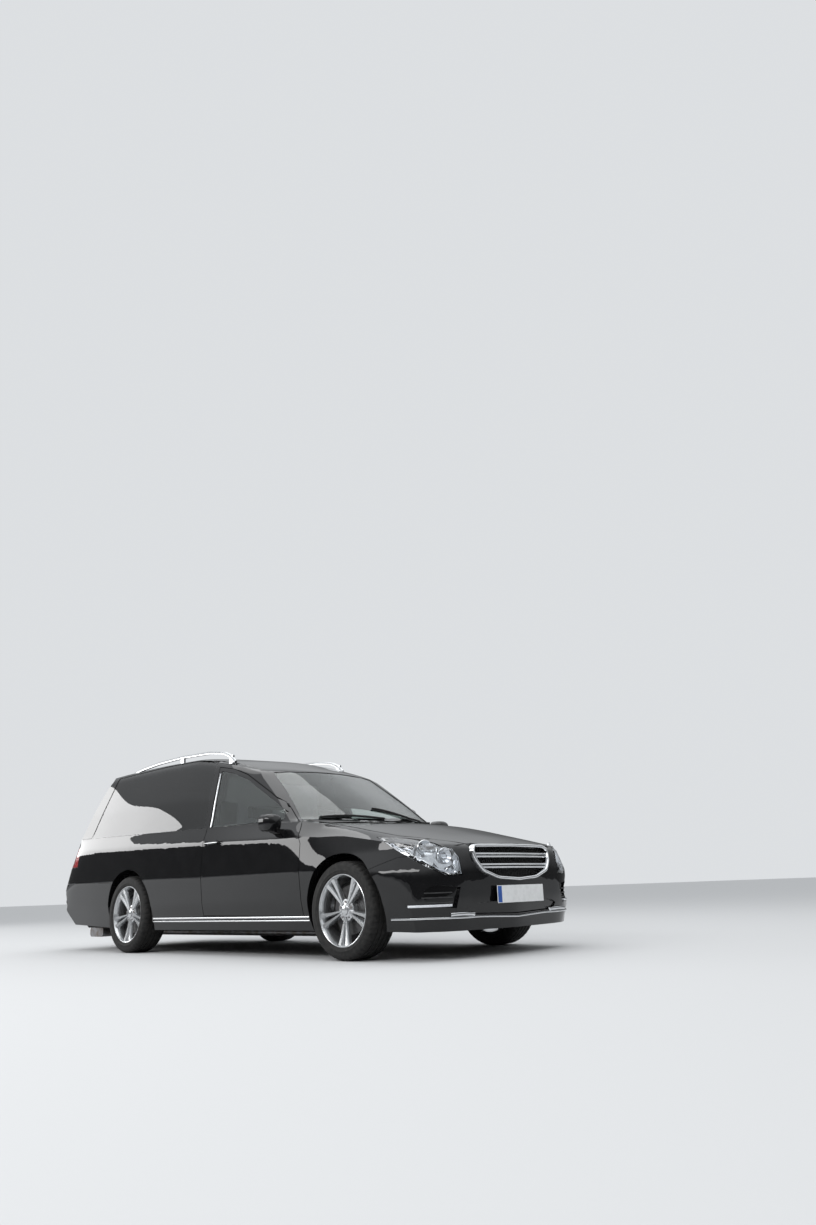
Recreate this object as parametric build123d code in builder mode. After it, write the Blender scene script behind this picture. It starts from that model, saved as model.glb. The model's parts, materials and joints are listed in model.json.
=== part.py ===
from build123d import *
import os
from math import cos, sin, radians, sqrt

# Driving dimensions, in millimetres. X points to the nose, Y to the left side, Z up from the ground.
WHEELBASE = 2874
FRONT_OVERHANG = 860
REAR_OVERHANG = 1430
HALF_WIDTH = 927
ROOF_TOP = 1694
BELT_Z = 1005
SILL_Z = 192
TRACK_FRONT = 1585
TRACK_REAR = 1595

LENGTH = FRONT_OVERHANG + WHEELBASE + REAR_OVERHANG
FX = LENGTH / 2 - FRONT_OVERHANG
RX = FX - WHEELBASE
NOSE_X = LENGTH / 2
TAIL_X = -LENGTH / 2

# Walls and gaps.
SIDE_WALL = 110
SILL_STEP = 45
PILLAR_WALL = 48
ROOF_WALL = 42
TAIL_WALL = 85
BONNET_WALL = 34
COVER_WALL = 60
GLASS_SET = 4
GLASS = 6
GLASS_LAP = 12
LAP_GAP = 1
SHUT_GAP = 6
SEAM = 3

# Wheels and running gear.
TYRE_RADIUS = 327.5
TYRE_WIDTH = 235
RIM_RADIUS = 241.5
ARCH_FRONT = 382
ARCH_REAR = 385
KINGPIN_IN = 40
STEER_ROOM_Y = 490
REAR_HOUSE_Y = 655
SPINDLE_RADIUS = 22
SPINDLE_GAP = 0.05
SPINDLE_REACH = 50

# Fixed places along the body.
BONNET_REAR_X = FX - 335
DOOR_FRONT_X = FX - 445
DOOR_REAR_X = FX - 1700
CAVITY_FRONT_X = DOOR_FRONT_X + SHUT_GAP
FIREWALL_X = CAVITY_FRONT_X - 28
ROOM_FLOOR_Z = 100
ROOM_TOP_Z = 940
GATE_TOP_X = RX - 800
BUMPER_TOP_X = FX + 560
SCUTTLE_REAR_X = FX - 760
SCUTTLE_HALF = 700
SCUTTLE_LOW_Z = 870
SCUTTLE_TOP_Z = BELT_Z + 5

# Lower body sections. Each row: x, bottom z, bottom inset, widest z, widest inset, crease z, crease inset,
# belt z, belt inset, crown z. Insets are taken from the half width.
LOWER_SECTIONS = [
    (FX + 1000, SILL_Z - 20, 130, 460, 50, 610, 95, 660, 215, 676),
    (FX + 560, SILL_Z - 10, 115, 540, 18, 715, 68, 762, 232, 806),
    (FX, SILL_Z, 88, 600, 4, 812, 36, 888, 182, 930),
    (FX - 480, SILL_Z, 82, 600, 8, 850, 22, 962, 112, 990),
    (FX - 1700, SILL_Z, 82, 600, 10, 872, 15, BELT_Z, 62, 1040),
    (RX, SILL_Z, 82, 620, 0, 900, 16, BELT_Z + 25, 64, 1060),
    (RX - 700, SILL_Z + 30, 90, 620, 8, 912, 26, BELT_Z + 40, 76, 1070),
    (RX - 1600, SILL_Z + 60, 120, 620, 34, 912, 58, BELT_Z + 45, 112, 1075),
]

# Upper body sections. Each row: x, foot inset, roof edge inset, roof edge drop, crown drop.
# Drops are taken from the roof's highest point.
UPPER_FOOT_Z = 900
UPPER_SECTIONS = [
    (FX + 60, 120, 300, 720, 650),
    (FX - 700, 88, 262, 420, 350),
    (FX - 1180, 66, 258, 278, 216),
    (FX - 1600, 56, 262, 152, 96),
    (FX - 2150, 50, 268, 44, 14),
    (FX - 2800, 50, 270, 30, 0),
    (RX - 650, 62, 276, 34, 8),
    (RX - 1500, 92, 296, 54, 30),
]
UPPER_BULGE = 7
LOWER_BULGE = 14
ROOF_EDGE_REACH = 50
CROWN_SHARE = 0.55

# Windscreen plan arcs. Each row: z, x at the middle, sweep back at the side.
SCREEN_HALF = 900
SCREEN_STATIONS = (-900, -620, -330, 0, 330, 620, 900)
SCREEN_LEVELS = [(850, FX - 185, 385), (1200, FX - 716, 345), (1750, FX - 1596, 285)]
SCREEN_SLOPE = 1.85

# Nose and tail plan outlines. Each row: z, distance inside the overhang, corner half width, bow, radius.
END_SPREAD = 0.13
NOSE_LEVELS = [
    (120, 70, 830, 105, 300),
    (330, 8, 870, 110, 320),
    (560, 4, 868, 115, 330),
    (700, 34, 800, 110, 300),
    (1150, 420, 760, 110, 280),
    (1800, 1000, 760, 110, 280),
]
TAIL_LEVELS = [
    (120, 330, 820, 55, 180),
    (370, 40, 868, 50, 200),
    (560, 4, 886, 48, 215),
    (760, 62, 868, 48, 200),
    (1050, 196, 838, 55, 160),
    (1400, 346, 745, 60, 130),
    (1800, 610, 640, 60, 110),
]


def middle(first, second, share=0.5):
    """The point a given share of the way from first to second."""
    return tuple(a + (b - a) * share for a, b in zip(first, second))


def towards(first, second, reach):
    """The point at a given distance from first, towards second."""
    return middle(first, second, reach / sqrt(sum((b - a) ** 2 for a, b in zip(first, second))))


def eased(before, corner, after, reach, steps):
    """A corner rounded off: steps + 1 points on the curve between the two sides, each cut back by reach."""
    start, end = towards(corner, before, reach), towards(corner, after, reach)
    shares = [step / steps for step in range(steps + 1)]
    return [middle(middle(start, corner, share), middle(corner, end, share), share) for share in shares]


def mirrored(points):
    """A half outline that starts on the middle line, closed by its mirror image."""
    return list(points) + [(-y, z) for y, z in reversed(points) if y]


def ruled(planes, outlines):
    """Straight walls from each closed outline to the next."""
    sketches = []
    for plane, outline in zip(planes, outlines):
        with BuildSketch(plane) as section:
            with BuildLine():
                Polyline(*outline, close=True)
            make_face()
        sketches.append(section.sketch)
    with BuildPart() as form:
        loft(sketches, ruled=True)
    return form.part


def across(x):
    """The plane across the body at x, drawn as (y, z)."""
    return Plane(origin=(x, 0, 0), x_dir=(0, 1, 0), z_dir=(1, 0, 0))


def lower_form(inset=0, deeper=0):
    """The body below the belt, shrunk by inset and let down by deeper."""
    outlines = []
    for _, z0, in0, z1, in1, z2, in2, z3, in3, z4 in LOWER_SECTIONS:
        y0, y1, y2, y3 = (HALF_WIDTH - inset - value for value in (in0, in1, in2, in3))
        z0, z2, z3, z4 = z0 - deeper, z2 - inset * 0.5, z3 - inset, z4 - inset
        outlines.append(mirrored([
            (0, z4), (y3 * CROWN_SHARE, z3 + (z4 - z3) * (1 - CROWN_SHARE ** 2)), (y3, z3), (y2, z2), (y1, z1),
            ((y0 + y1) / 2 + LOWER_BULGE, (z0 + z1) / 2), (y0, z0),
        ]))
    return ruled([across(row[0]) for row in LOWER_SECTIONS], outlines)


def room_form():
    """The room between the lower side walls, open below."""
    rows = LOWER_SECTIONS[2:]
    outlines = []
    for _, _, _, z1, in1, _, in2, *_ in rows:
        foot_y, wide_y, top_y = (HALF_WIDTH - SIDE_WALL - value for value in (in1 + SILL_STEP, in1, in2 + 12))
        outlines.append(mirrored([
            (0, ROOM_TOP_Z), (top_y, ROOM_TOP_Z), (wide_y, z1), (foot_y, z1 - 200), (foot_y, ROOM_FLOOR_Z),
        ]))
    return ruled([across(row[0]) for row in rows], outlines)


def screen_form(inset=0):
    """Everything behind the windscreen's outer face, moved back by inset."""
    outlines = []
    for _, x_middle, sweep in SCREEN_LEVELS:
        x_middle -= inset * SCREEN_SLOPE
        face = [(x_middle - sweep * (y / SCREEN_HALF) ** 2, y) for y in SCREEN_STATIONS]
        outlines.append(face + [(TAIL_X - 200, SCREEN_HALF), (TAIL_X - 200, -SCREEN_HALF)])
    return ruled([Plane.XY.offset(row[0]) for row in SCREEN_LEVELS], outlines)


def upper_form(inset=0, roof_inset=None, screened=True):
    """The body above the belt, shrunk by inset at its sides and by roof_inset at the roof."""
    roof_inset = inset if roof_inset is None else roof_inset
    outlines = []
    for _, foot_in, edge_in, edge_drop, crown_drop in UPPER_SECTIONS:
        foot = (HALF_WIDTH - foot_in - inset, UPPER_FOOT_Z)
        edge = (HALF_WIDTH - edge_in - inset, ROOF_TOP - edge_drop - roof_inset)
        crown_z = ROOF_TOP - crown_drop - roof_inset
        side = middle(foot, edge)
        side = (side[0] + UPPER_BULGE, side[1])
        roof = (edge[0] * CROWN_SHARE, edge[1] + (crown_z - edge[1]) * (1 - CROWN_SHARE ** 2))
        outlines.append(mirrored(
            [(0, crown_z), roof] + eased(roof, edge, side, ROOF_EDGE_REACH - inset * 0.4, 2) + [side, foot]
        ))
    with BuildPart() as form:
        add(ruled([across(row[0]) for row in UPPER_SECTIONS], outlines))
        if screened:
            add(screen_form(inset), mode=Mode.INTERSECT)
    return form.part


def end_form(levels, tip_x, direction, inset=0):
    """Everything inside the rounded nose (direction 1) or tail (direction -1), drawn in by inset."""
    outlines = []
    far = -direction * (LENGTH / 2 + 400)
    for _, inside, corner_y, bow, radius in levels:
        tip = tip_x - direction * (inside + inset)
        corner = (corner_y - inset, tip - direction * bow)
        face = (corner[0] / 2, tip - direction * bow * 0.25)
        back = (corner[0] + abs(corner[1] - far) * END_SPREAD, far)
        half = [(0, tip)] + eased(face, corner, back, (radius - inset * 0.5) * 0.85, 3) + [back]
        outlines.append([(x, y) for y, x in mirrored(half)])
    return ruled([Plane.XY.offset(row[0]) for row in levels], outlines)


def prism_from(plane, points, depth, grow=0):
    """A prism on a plane from a closed outline, which grow makes larger or smaller all round."""
    with BuildPart() as prism:
        with BuildSketch(plane):
            with BuildLine():
                Polyline(*points, close=True)
            make_face()
            if grow:
                offset(amount=grow, kind=Kind.INTERSECTION)
        extrude(amount=depth)
    return prism.part


def side_prism(points, y_low, y_high, grow=0):
    """A prism with its outline drawn in side view as (x, z)."""
    return prism_from(Plane.XZ.offset(-y_high), points, y_high - y_low, grow)


def front_prism(points, x_low, x_high, grow=0):
    """A prism with its outline drawn in front view as (y, z)."""
    return prism_from(Plane.YZ.offset(x_low), points, x_high - x_low, grow)


def plan_prism(points, z_low, z_high, grow=0):
    """A prism with its outline drawn in plan as (x, y)."""
    return prism_from(Plane.XY.offset(z_low), points, z_high - z_low, grow)


def block(x_low, x_high, y_low, y_high, z_low, z_high):
    """A plain box between two corners."""
    size = (x_high - x_low, y_high - y_low, z_high - z_low)
    centre = ((x_low + x_high) / 2, (y_low + y_high) / 2, (z_low + z_high) / 2)
    return Pos(*centre) * Box(*size, mode=Mode.PRIVATE)


def round_bar(x, y, z, radius, length, direction):
    """A bar along Y from (x, y, z), towards direction."""
    return Pos(x, y + direction * length / 2, z) * Rot(90, 0, 0) * Cylinder(radius, length, mode=Mode.PRIVATE)


def cut_away(solid, cutters):
    """A solid with each cutter taken away in turn."""
    with BuildPart() as result:
        add(solid)
        for cutter in cutters:
            add(cutter, mode=Mode.SUBTRACT)
    return result.part


def shared(solid, keepers):
    """What a solid shares with every keeper."""
    with BuildPart() as result:
        add(solid)
        for keeper in keepers:
            add(keeper, mode=Mode.INTERSECT)
    return result.part


def main_solid(piece):
    """The largest solid of a piece, without the slivers that a cut can leave."""
    return piece.solids().sort_by(SortBy.VOLUME)[-1]


def write(piece, name):
    """Label a finished piece and write it under its own name."""
    piece.label = name
    export_step(piece, f"parts/{name}.step")


def write_pair(left, name):
    """Write a left piece and its mirror image on the right."""
    write(left, f"{name}_left")
    write(mirror(left, about=Plane.XZ), f"{name}_right")


def both(left):
    """A left piece and its mirror image as one piece of two solids."""
    return Compound([left, mirror(left, about=Plane.XZ)])


os.makedirs("parts", exist_ok=True)

# Cutters reach past the body by this much, and beyond its side.
PAST = 50
FAR_Y = 1000

# Outline of the door in side view, and of its window.
DOOR_OUTLINE = [
    (DOOR_FRONT_X, 292), (DOOR_FRONT_X, 800), (FX - 530, 962), (FX - 1020, 1228), (FX - 1400, 1420),
    (FX - 1600, 1490), (FX - 1812, 1528), (DOOR_REAR_X + 4, 950), (DOOR_REAR_X - 4, 306),
]
DOOR_WINDOW = [
    (FX - 775, 1012), (FX - 775, 1052), (FX - 1040, 1192), (FX - 1400, 1374), (FX - 1600, 1444), (FX - 1755, 1474),
    (FX - 1665, 1010),
]
BAY_WINDOW = [
    (FX - 1798, 1012), (FX - 1905, 1594), (FX - 2200, 1622), (FX - 2700, 1630), (FX - 3610, 1616), (FX - 3785, 1052),
]
BAY_INNER_Y = 603
SCREEN_OPENING = mirrored([(0, 1438), (400, 1430), (548, 1418), (706, 1000), (350, 978), (0, 970)])
GATE_OUTLINE = mirrored([(575, 1900), (588, 1600), (680, 1040), (680, 800), (645, 626)])
GATE_WINDOW = mirrored([(500, 1560), (590, 1120), (560, 1090)])
WING_OUTLINE = [
    (DOOR_FRONT_X + SHUT_GAP, 100), (DOOR_FRONT_X + SHUT_GAP, 800), (FX - 523, 964), (FX - 505, 1010),
    (FX - 300, 1150), (FX + 900, 1150), (FX + 900, 658), (FX + 500, 658), (FX + 285, 586), (FX + 285, 100),
]
BUMPER_OUTLINE = [
    (FX + 285, 100), (FX + 285, 586 - SEAM), (FX + 500, 658 - SEAM), (BUMPER_TOP_X, 658 - SEAM),
    (BUMPER_TOP_X, 800), (NOSE_X + PAST, 800), (NOSE_X + PAST, 100),
]
REAR_BUMPER_OUTLINE = [
    (TAIL_X - PAST, 100), (TAIL_X - PAST, 618), (RX - 900, 618), (RX - 300, 604), (RX - 300, 100),
]
LAMP_OUTLINE = [
    (-378, 802), (-230, 796), (-85, 768), (120, 704), (165, 640), (178, 530), (80, 528), (-60, 590), (-250, 700),
]

# Outer form of the whole body, and the hollow inside it.
tail_levels = (TAIL_LEVELS, TAIL_X, -1)
nose_levels = (NOSE_LEVELS, NOSE_X, 1)
upper_outside = upper_form()
nose_outside = end_form(*nose_levels)
with BuildPart() as outer:
    add(lower_form())
    add(upper_outside)
    add(nose_outside, mode=Mode.INTERSECT)
    add(end_form(*tail_levels), mode=Mode.INTERSECT)
with BuildPart() as cavity:
    add(room_form())
    add(block(TAIL_X, CAVITY_FRONT_X, -1000, 1000, -200, 1000), mode=Mode.INTERSECT)
    add(upper_form(PILLAR_WALL, ROOF_WALL))
    add(end_form(*tail_levels, inset=TAIL_WALL), mode=Mode.INTERSECT)
with BuildPart() as shell:
    add(outer.part)
    add(cavity.part, mode=Mode.SUBTRACT)

# Glass lies in a thin layer under the outer form, and laps onto a step cut in its frame.
with BuildPart() as glass_outside:
    add(upper_form(GLASS_SET))
    add(end_form(*tail_levels, inset=GLASS_SET), mode=Mode.INTERSECT)
with BuildPart() as glass_inside:
    add(upper_form(GLASS_SET + GLASS))
    add(end_form(*tail_levels, inset=GLASS_SET + GLASS), mode=Mode.INTERSECT)
with BuildPart() as glass_layer:
    add(glass_outside.part)
    add(glass_inside.part, mode=Mode.SUBTRACT)


def window_cut(prism, points, low, high):
    """The step that a pane lies in and the hole behind it."""
    step = cut_away(prism(points, low, high, grow=GLASS_LAP), [glass_inside.part])
    return [step, prism(points, low, high)]


def pane(prism, points, low, high):
    """A pane that laps onto the step round its hole."""
    return shared(glass_layer.part, [prism(points, low, high, grow=GLASS_LAP - LAP_GAP)])


door_window = window_cut(side_prism, DOOR_WINDOW, 450, FAR_Y)
bay_window = window_cut(side_prism, BAY_WINDOW, BAY_INNER_Y, FAR_Y)
screen_window = window_cut(front_prism, SCREEN_OPENING, FX - 1420, FX - 200)
gate_window = window_cut(front_prism, GATE_WINDOW, TAIL_X - PAST, RX - 830)
door_space = cut_away(
    side_prism(DOOR_OUTLINE, 300, FAR_Y, grow=SHUT_GAP),
    [upper_form(PILLAR_WALL + SHUT_GAP, SHUT_GAP, screened=False)],
)
gate_space = front_prism(GATE_OUTLINE, TAIL_X - PAST, GATE_TOP_X + SHUT_GAP, grow=SHUT_GAP)
scuttle_room = block(
    SCUTTLE_REAR_X, BONNET_REAR_X + 8, 0, SCUTTLE_HALF, SCUTTLE_LOW_Z - 70, SCUTTLE_TOP_Z,
)

# Door mirror on a short foot that is sunk in the door.
MIRROR_X = FX - 735
MIRROR_Z = 965
MIRROR_Y = 970
MIRROR_HALF_Y = 64
MIRROR_HALF_Z = 67
MIRROR_CUT = 0.45
FOOT_SUNK = 100
MIRROR_SECTIONS = [(72, 0.55), (10, 0.95), (-62, 1)]


def mirror_outline(share):
    """An eight-sided outline round the middle of the mirror."""
    half_y, half_z = MIRROR_HALF_Y * share, MIRROR_HALF_Z * share
    near_y, near_z = half_y * MIRROR_CUT, half_z * MIRROR_CUT
    quarter = [(half_y, near_z), (near_y, half_z)]
    ring = quarter + [(-y, z) for y, z in reversed(quarter)]
    ring += [(-y, -z) for y, z in ring]
    return [(MIRROR_Y + y, MIRROR_Z + z) for y, z in ring]


with BuildPart() as mirror_shell:
    add(ruled(
        [across(MIRROR_X + shift) for shift, _ in MIRROR_SECTIONS],
        [mirror_outline(share) for _, share in MIRROR_SECTIONS],
    ))
    add(block(
        MIRROR_X - 50, MIRROR_X + 40, HALF_WIDTH - FOOT_SUNK, MIRROR_Y, MIRROR_Z - MIRROR_HALF_Z - 12,
        MIRROR_Z - MIRROR_HALF_Z + 22,
    ))

# Doors, hung at their front edge, each with a pull handle and its mirror.
HANDLE_X = FX - 1551
HANDLE_Z = 868
HANDLE_LONG = 190
HANDLE_HIGH = 28
HANDLE_GAP = 20
HANDLE_END = 25
handle_y = HALF_WIDTH - 16
with BuildPart() as handle:
    add(block(
        HANDLE_X - HANDLE_LONG / 2, HANDLE_X + HANDLE_LONG / 2, handle_y - 10, handle_y + HANDLE_GAP + 16,
        HANDLE_Z - HANDLE_HIGH / 2, HANDLE_Z + HANDLE_HIGH / 2,
    ))
    add(block(
        HANDLE_X - HANDLE_LONG / 2 + HANDLE_END, HANDLE_X + HANDLE_LONG / 2 - HANDLE_END, handle_y - 20,
        handle_y + HANDLE_GAP,
        HANDLE_Z - HANDLE_HIGH, HANDLE_Z + HANDLE_HIGH,
    ), mode=Mode.SUBTRACT)
with BuildPart() as door:
    add(shell.part)
    add(side_prism(DOOR_OUTLINE, 600, 1000), mode=Mode.INTERSECT)
    add(upper_form(PILLAR_WALL, 0, screened=False), mode=Mode.SUBTRACT)
    for cutter in door_window:
        add(cutter, mode=Mode.SUBTRACT)
    add(handle.part)
    add(mirror_shell.part)
write_pair(door.part, "door")
write_pair(pane(side_prism, DOOR_WINDOW, 450, FAR_Y), "door_glass")

# Roof, from the windscreen header to the tailgate.
ROOF_HALF = 600
ROOF_FRONT_X = FX - 1000
ROOF_SEAM_Z = 1440
with BuildPart() as roof:
    add(shell.part)
    add(block(
        GATE_TOP_X + SHUT_GAP, ROOF_FRONT_X, -ROOF_HALF, ROOF_HALF, ROOF_SEAM_Z, ROOF_TOP + PAST,
    ), mode=Mode.INTERSECT)
    for cutter in screen_window:
        add(cutter, mode=Mode.SUBTRACT)
write(roof.part, "roof")

# Tailgate, hinged at the roof's rear edge, with its window. Behind its outer rim it is narrower, so that its
# sides swing clear of the opening.
GATE_RIM = 25
GATE_STEP = 14
with BuildPart() as gate_rebate:
    add(front_prism(GATE_OUTLINE, TAIL_X - PAST, GATE_TOP_X, grow=SEAM))
    add(front_prism(GATE_OUTLINE, TAIL_X - 2 * PAST, GATE_TOP_X + PAST, grow=-GATE_STEP), mode=Mode.SUBTRACT)
    add(upper_form(GATE_RIM), mode=Mode.INTERSECT)
    add(end_form(*tail_levels, inset=GATE_RIM), mode=Mode.INTERSECT)
with BuildPart() as tailgate:
    add(shell.part)
    add(front_prism(GATE_OUTLINE, TAIL_X - PAST, GATE_TOP_X), mode=Mode.INTERSECT)
    add(gate_rebate.part, mode=Mode.SUBTRACT)
    for cutter in gate_window:
        add(cutter, mode=Mode.SUBTRACT)
write(tailgate.part, "tailgate")
write(pane(front_prism, GATE_WINDOW, TAIL_X - PAST, RX - 830), "tailgate_glass")

# Tail lamps, wrapped round the rear corners beside the tailgate.
TAIL_LAMP = [(706, 772), (700, 950), (1000, 966), (1000, 780)]
CORE_DEEPER = 60
with BuildPart() as core:
    add(lower_form(COVER_WALL, deeper=CORE_DEEPER))
    add(end_form(*tail_levels, inset=COVER_WALL), mode=Mode.INTERSECT)
    add(end_form(*nose_levels, inset=COVER_WALL), mode=Mode.INTERSECT)
tail_lamp_space = cut_away(front_prism(TAIL_LAMP, TAIL_X - PAST, RX - 1030, grow=SEAM), [core.part])
with BuildPart() as tail_lamp:
    add(outer.part)
    add(front_prism(TAIL_LAMP, TAIL_X - PAST, RX - 1030 - SEAM), mode=Mode.INTERSECT)
    add(core.part, mode=Mode.SUBTRACT)
write(both(tail_lamp.part), "tail_lamps")

# Body sides: sill, centre pillar, rear quarter, roof edge and both screen pillars.
arch_rear = round_bar(RX, REAR_HOUSE_Y, TYRE_RADIUS, ARCH_REAR, 400, 1)
with BuildPart() as body_side:
    add(shell.part)
    add(block(TAIL_X, CAVITY_FRONT_X, 0, 1000, 100, 1800), mode=Mode.INTERSECT)
    add(block(
        TAIL_X - PAST, ROOF_FRONT_X, -ROOF_HALF, ROOF_HALF, ROOF_SEAM_Z, ROOF_TOP + PAST,
    ), mode=Mode.SUBTRACT)
    add(side_prism(WING_OUTLINE, 0, 1000), mode=Mode.SUBTRACT)
    add(scuttle_room, mode=Mode.SUBTRACT)
    add(side_prism(REAR_BUMPER_OUTLINE, -10, 1000, grow=SEAM), mode=Mode.SUBTRACT)
    add(arch_rear, mode=Mode.SUBTRACT)
    add(door_space, mode=Mode.SUBTRACT)
    add(gate_space, mode=Mode.SUBTRACT)
    add(tail_lamp_space, mode=Mode.SUBTRACT)
    for cutter in bay_window + screen_window:
        add(cutter, mode=Mode.SUBTRACT)
write_pair(main_solid(body_side.part), "body_side")
write(both(pane(side_prism, BAY_WINDOW, BAY_INNER_Y, FAR_Y)), "side_glass")
write(pane(front_prism, SCREEN_OPENING, FX - 1420, FX - 200), "windscreen")


# Front wings, each with its wheel arch, under the bonnet's edge.
BONNET_HALF = [
    (BONNET_REAR_X, 738), (FX + 100, 720), (FX + 360, 682), (FX + 600, 552), (FX + 740, 440), (FX + 776, 240),
    (FX + 788, 0),
]
BONNET_OUTLINE = BONNET_HALF + [(x, -y) for x, y in reversed(BONNET_HALF) if y]
with BuildPart() as under_bonnet:
    add(lower_form(BONNET_WALL))
with BuildPart() as bonnet:
    add(outer.part)
    add(plan_prism(BONNET_OUTLINE, 500, 1200), mode=Mode.INTERSECT)
    add(under_bonnet.part, mode=Mode.SUBTRACT)
write(bonnet.part, "bonnet")
bonnet_space = cut_away(
    plan_prism(BONNET_OUTLINE, 500, 1200, grow=SHUT_GAP), [lower_form(BONNET_WALL + SHUT_GAP)],
)

lamp_plane = Plane(origin=(FX + 900, 900, 0), x_dir=(1, -1, 0), z_dir=(-1, -1, 0))


def lamp_prism(grow=0):
    """The headlamp's outline, seen squarely from the left front corner."""
    return prism_from(lamp_plane, LAMP_OUTLINE, 850, grow)


with BuildPart() as headlamp:
    add(outer.part)
    add(lamp_prism(), mode=Mode.INTERSECT)
    add(block(FX, NOSE_X + PAST, 0, 1000, 300, 1000), mode=Mode.INTERSECT)
    add(core.part, mode=Mode.SUBTRACT)
    add(bonnet_space, mode=Mode.SUBTRACT)
write(both(headlamp.part), "headlamps")
lamp_space = cut_away(lamp_prism(grow=SEAM), [core.part])

arch_front = round_bar(FX, STEER_ROOM_Y, TYRE_RADIUS, ARCH_FRONT, 600, 1)
WING_INNER_Y = 600
with BuildPart() as wing:
    add(outer.part)
    add(side_prism(WING_OUTLINE, WING_INNER_Y, FAR_Y), mode=Mode.INTERSECT)
    add(arch_front, mode=Mode.SUBTRACT)
    add(bonnet_space, mode=Mode.SUBTRACT)
    add(lamp_space, mode=Mode.SUBTRACT)
    add(scuttle_room, mode=Mode.SUBTRACT)
    add(block(BUMPER_TOP_X - SEAM, NOSE_X + PAST, 0, 1000, 100, 1000), mode=Mode.SUBTRACT)
write_pair(wing.part, "wing")

# Front bumper, a hollow cover with the grille's opening and its air intakes.
GRILLE_HALF = [(0, 728), (400, 724), (436, 700), (424, 620), (366, 550), (220, 502), (0, 488)]
GRILLE_OUTLINE = mirrored(GRILLE_HALF)
INTAKE_DEPTH = 38
CENTRE_INTAKE = mirrored([(0, 352), (420, 352), (500, 322), (470, 276), (0, 262)])
SIDE_INTAKE = [(560, 452), (742, 470), (800, 440), (800, 372), (742, 330), (600, 318)]
intake_floor = end_form(*nose_levels, inset=INTAKE_DEPTH)
centre_intake = front_prism(CENTRE_INTAKE, FX + 500, NOSE_X + PAST)
side_intake = front_prism(SIDE_INTAKE, FX + 300, NOSE_X + PAST)
intakes = [
    cut_away(cutter, [intake_floor])
    for cutter in (centre_intake, side_intake, mirror(side_intake, about=Plane.XZ))
]
with BuildPart() as front_bumper:
    add(outer.part)
    add(side_prism(BUMPER_OUTLINE, -FAR_Y, FAR_Y), mode=Mode.INTERSECT)
    add(arch_front, mode=Mode.SUBTRACT)
    add(mirror(arch_front, about=Plane.XZ), mode=Mode.SUBTRACT)
    add(core.part, mode=Mode.SUBTRACT)
    add(lamp_space, mode=Mode.SUBTRACT)
    add(mirror(lamp_space, about=Plane.XZ), mode=Mode.SUBTRACT)
    add(bonnet_space, mode=Mode.SUBTRACT)
    add(front_prism(GRILLE_OUTLINE, FX + 500, NOSE_X + PAST), mode=Mode.SUBTRACT)
    for intake in intakes:
        add(intake, mode=Mode.SUBTRACT)
write(main_solid(front_bumper.part), "front_bumper")

# Rear bumper, a hollow cover from arch to arch.
with BuildPart() as rear_bumper:
    add(outer.part)
    add(side_prism(REAR_BUMPER_OUTLINE, -FAR_Y, FAR_Y), mode=Mode.INTERSECT)
    add(arch_rear, mode=Mode.SUBTRACT)
    add(mirror(arch_rear, about=Plane.XZ), mode=Mode.SUBTRACT)
    add(core.part, mode=Mode.SUBTRACT)
write(rear_bumper.part, "rear_bumper")

# Grille: a bright shield frame with two pairs of bars across it.
GRILLE_FRAME = 15
GRILLE_DEPTH = 34
BAR_HEIGHT = 13
BAR_PITCH = 20
BAR_DEPTH = 22
BAR_Z = [655, 583]
with BuildPart() as grille_layer:
    add(nose_outside)
    add(block(FX + 300, NOSE_X + PAST, -480, 480, 450, 760), mode=Mode.INTERSECT)
    add(end_form(*nose_levels, inset=GRILLE_DEPTH), mode=Mode.SUBTRACT)
with BuildPart() as bar_layer:
    add(end_form(*nose_levels, inset=GRILLE_DEPTH - BAR_DEPTH))
    add(block(FX + 300, NOSE_X + PAST, -480, 480, 450, 760), mode=Mode.INTERSECT)
    add(end_form(*nose_levels, inset=GRILLE_DEPTH), mode=Mode.SUBTRACT)
grille_prism = front_prism(GRILLE_OUTLINE, FX + 400, NOSE_X + PAST)
with BuildPart() as grille:
    add(shared(grille_layer.part, [grille_prism]))
    add(bonnet_space, mode=Mode.SUBTRACT)
    add(front_prism(GRILLE_OUTLINE, FX + 400, NOSE_X + PAST, grow=-GRILLE_FRAME), mode=Mode.SUBTRACT)
    for bar_z in BAR_Z:
        for shift in (-BAR_PITCH / 2, BAR_PITCH / 2):
            low, high = bar_z + shift - BAR_HEIGHT / 2, bar_z + shift + BAR_HEIGHT / 2
            add(shared(bar_layer.part, [block(FX + 400, NOSE_X, -480, 480, low, high), grille_prism]))
write(grille.part, "grille")

# Scuttle between bonnet and windscreen, which carries the glass's lower edge.
with BuildPart() as scuttle:
    add(shell.part)
    add(block(
        SCUTTLE_REAR_X + SEAM, BONNET_REAR_X - SHUT_GAP, SEAM - SCUTTLE_HALF, SCUTTLE_HALF - SEAM, SCUTTLE_LOW_Z,
        SCUTTLE_TOP_Z - SEAM,
    ), mode=Mode.INTERSECT)
    for cutter in screen_window:
        add(cutter, mode=Mode.SUBTRACT)
write(scuttle.part, "scuttle")

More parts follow.
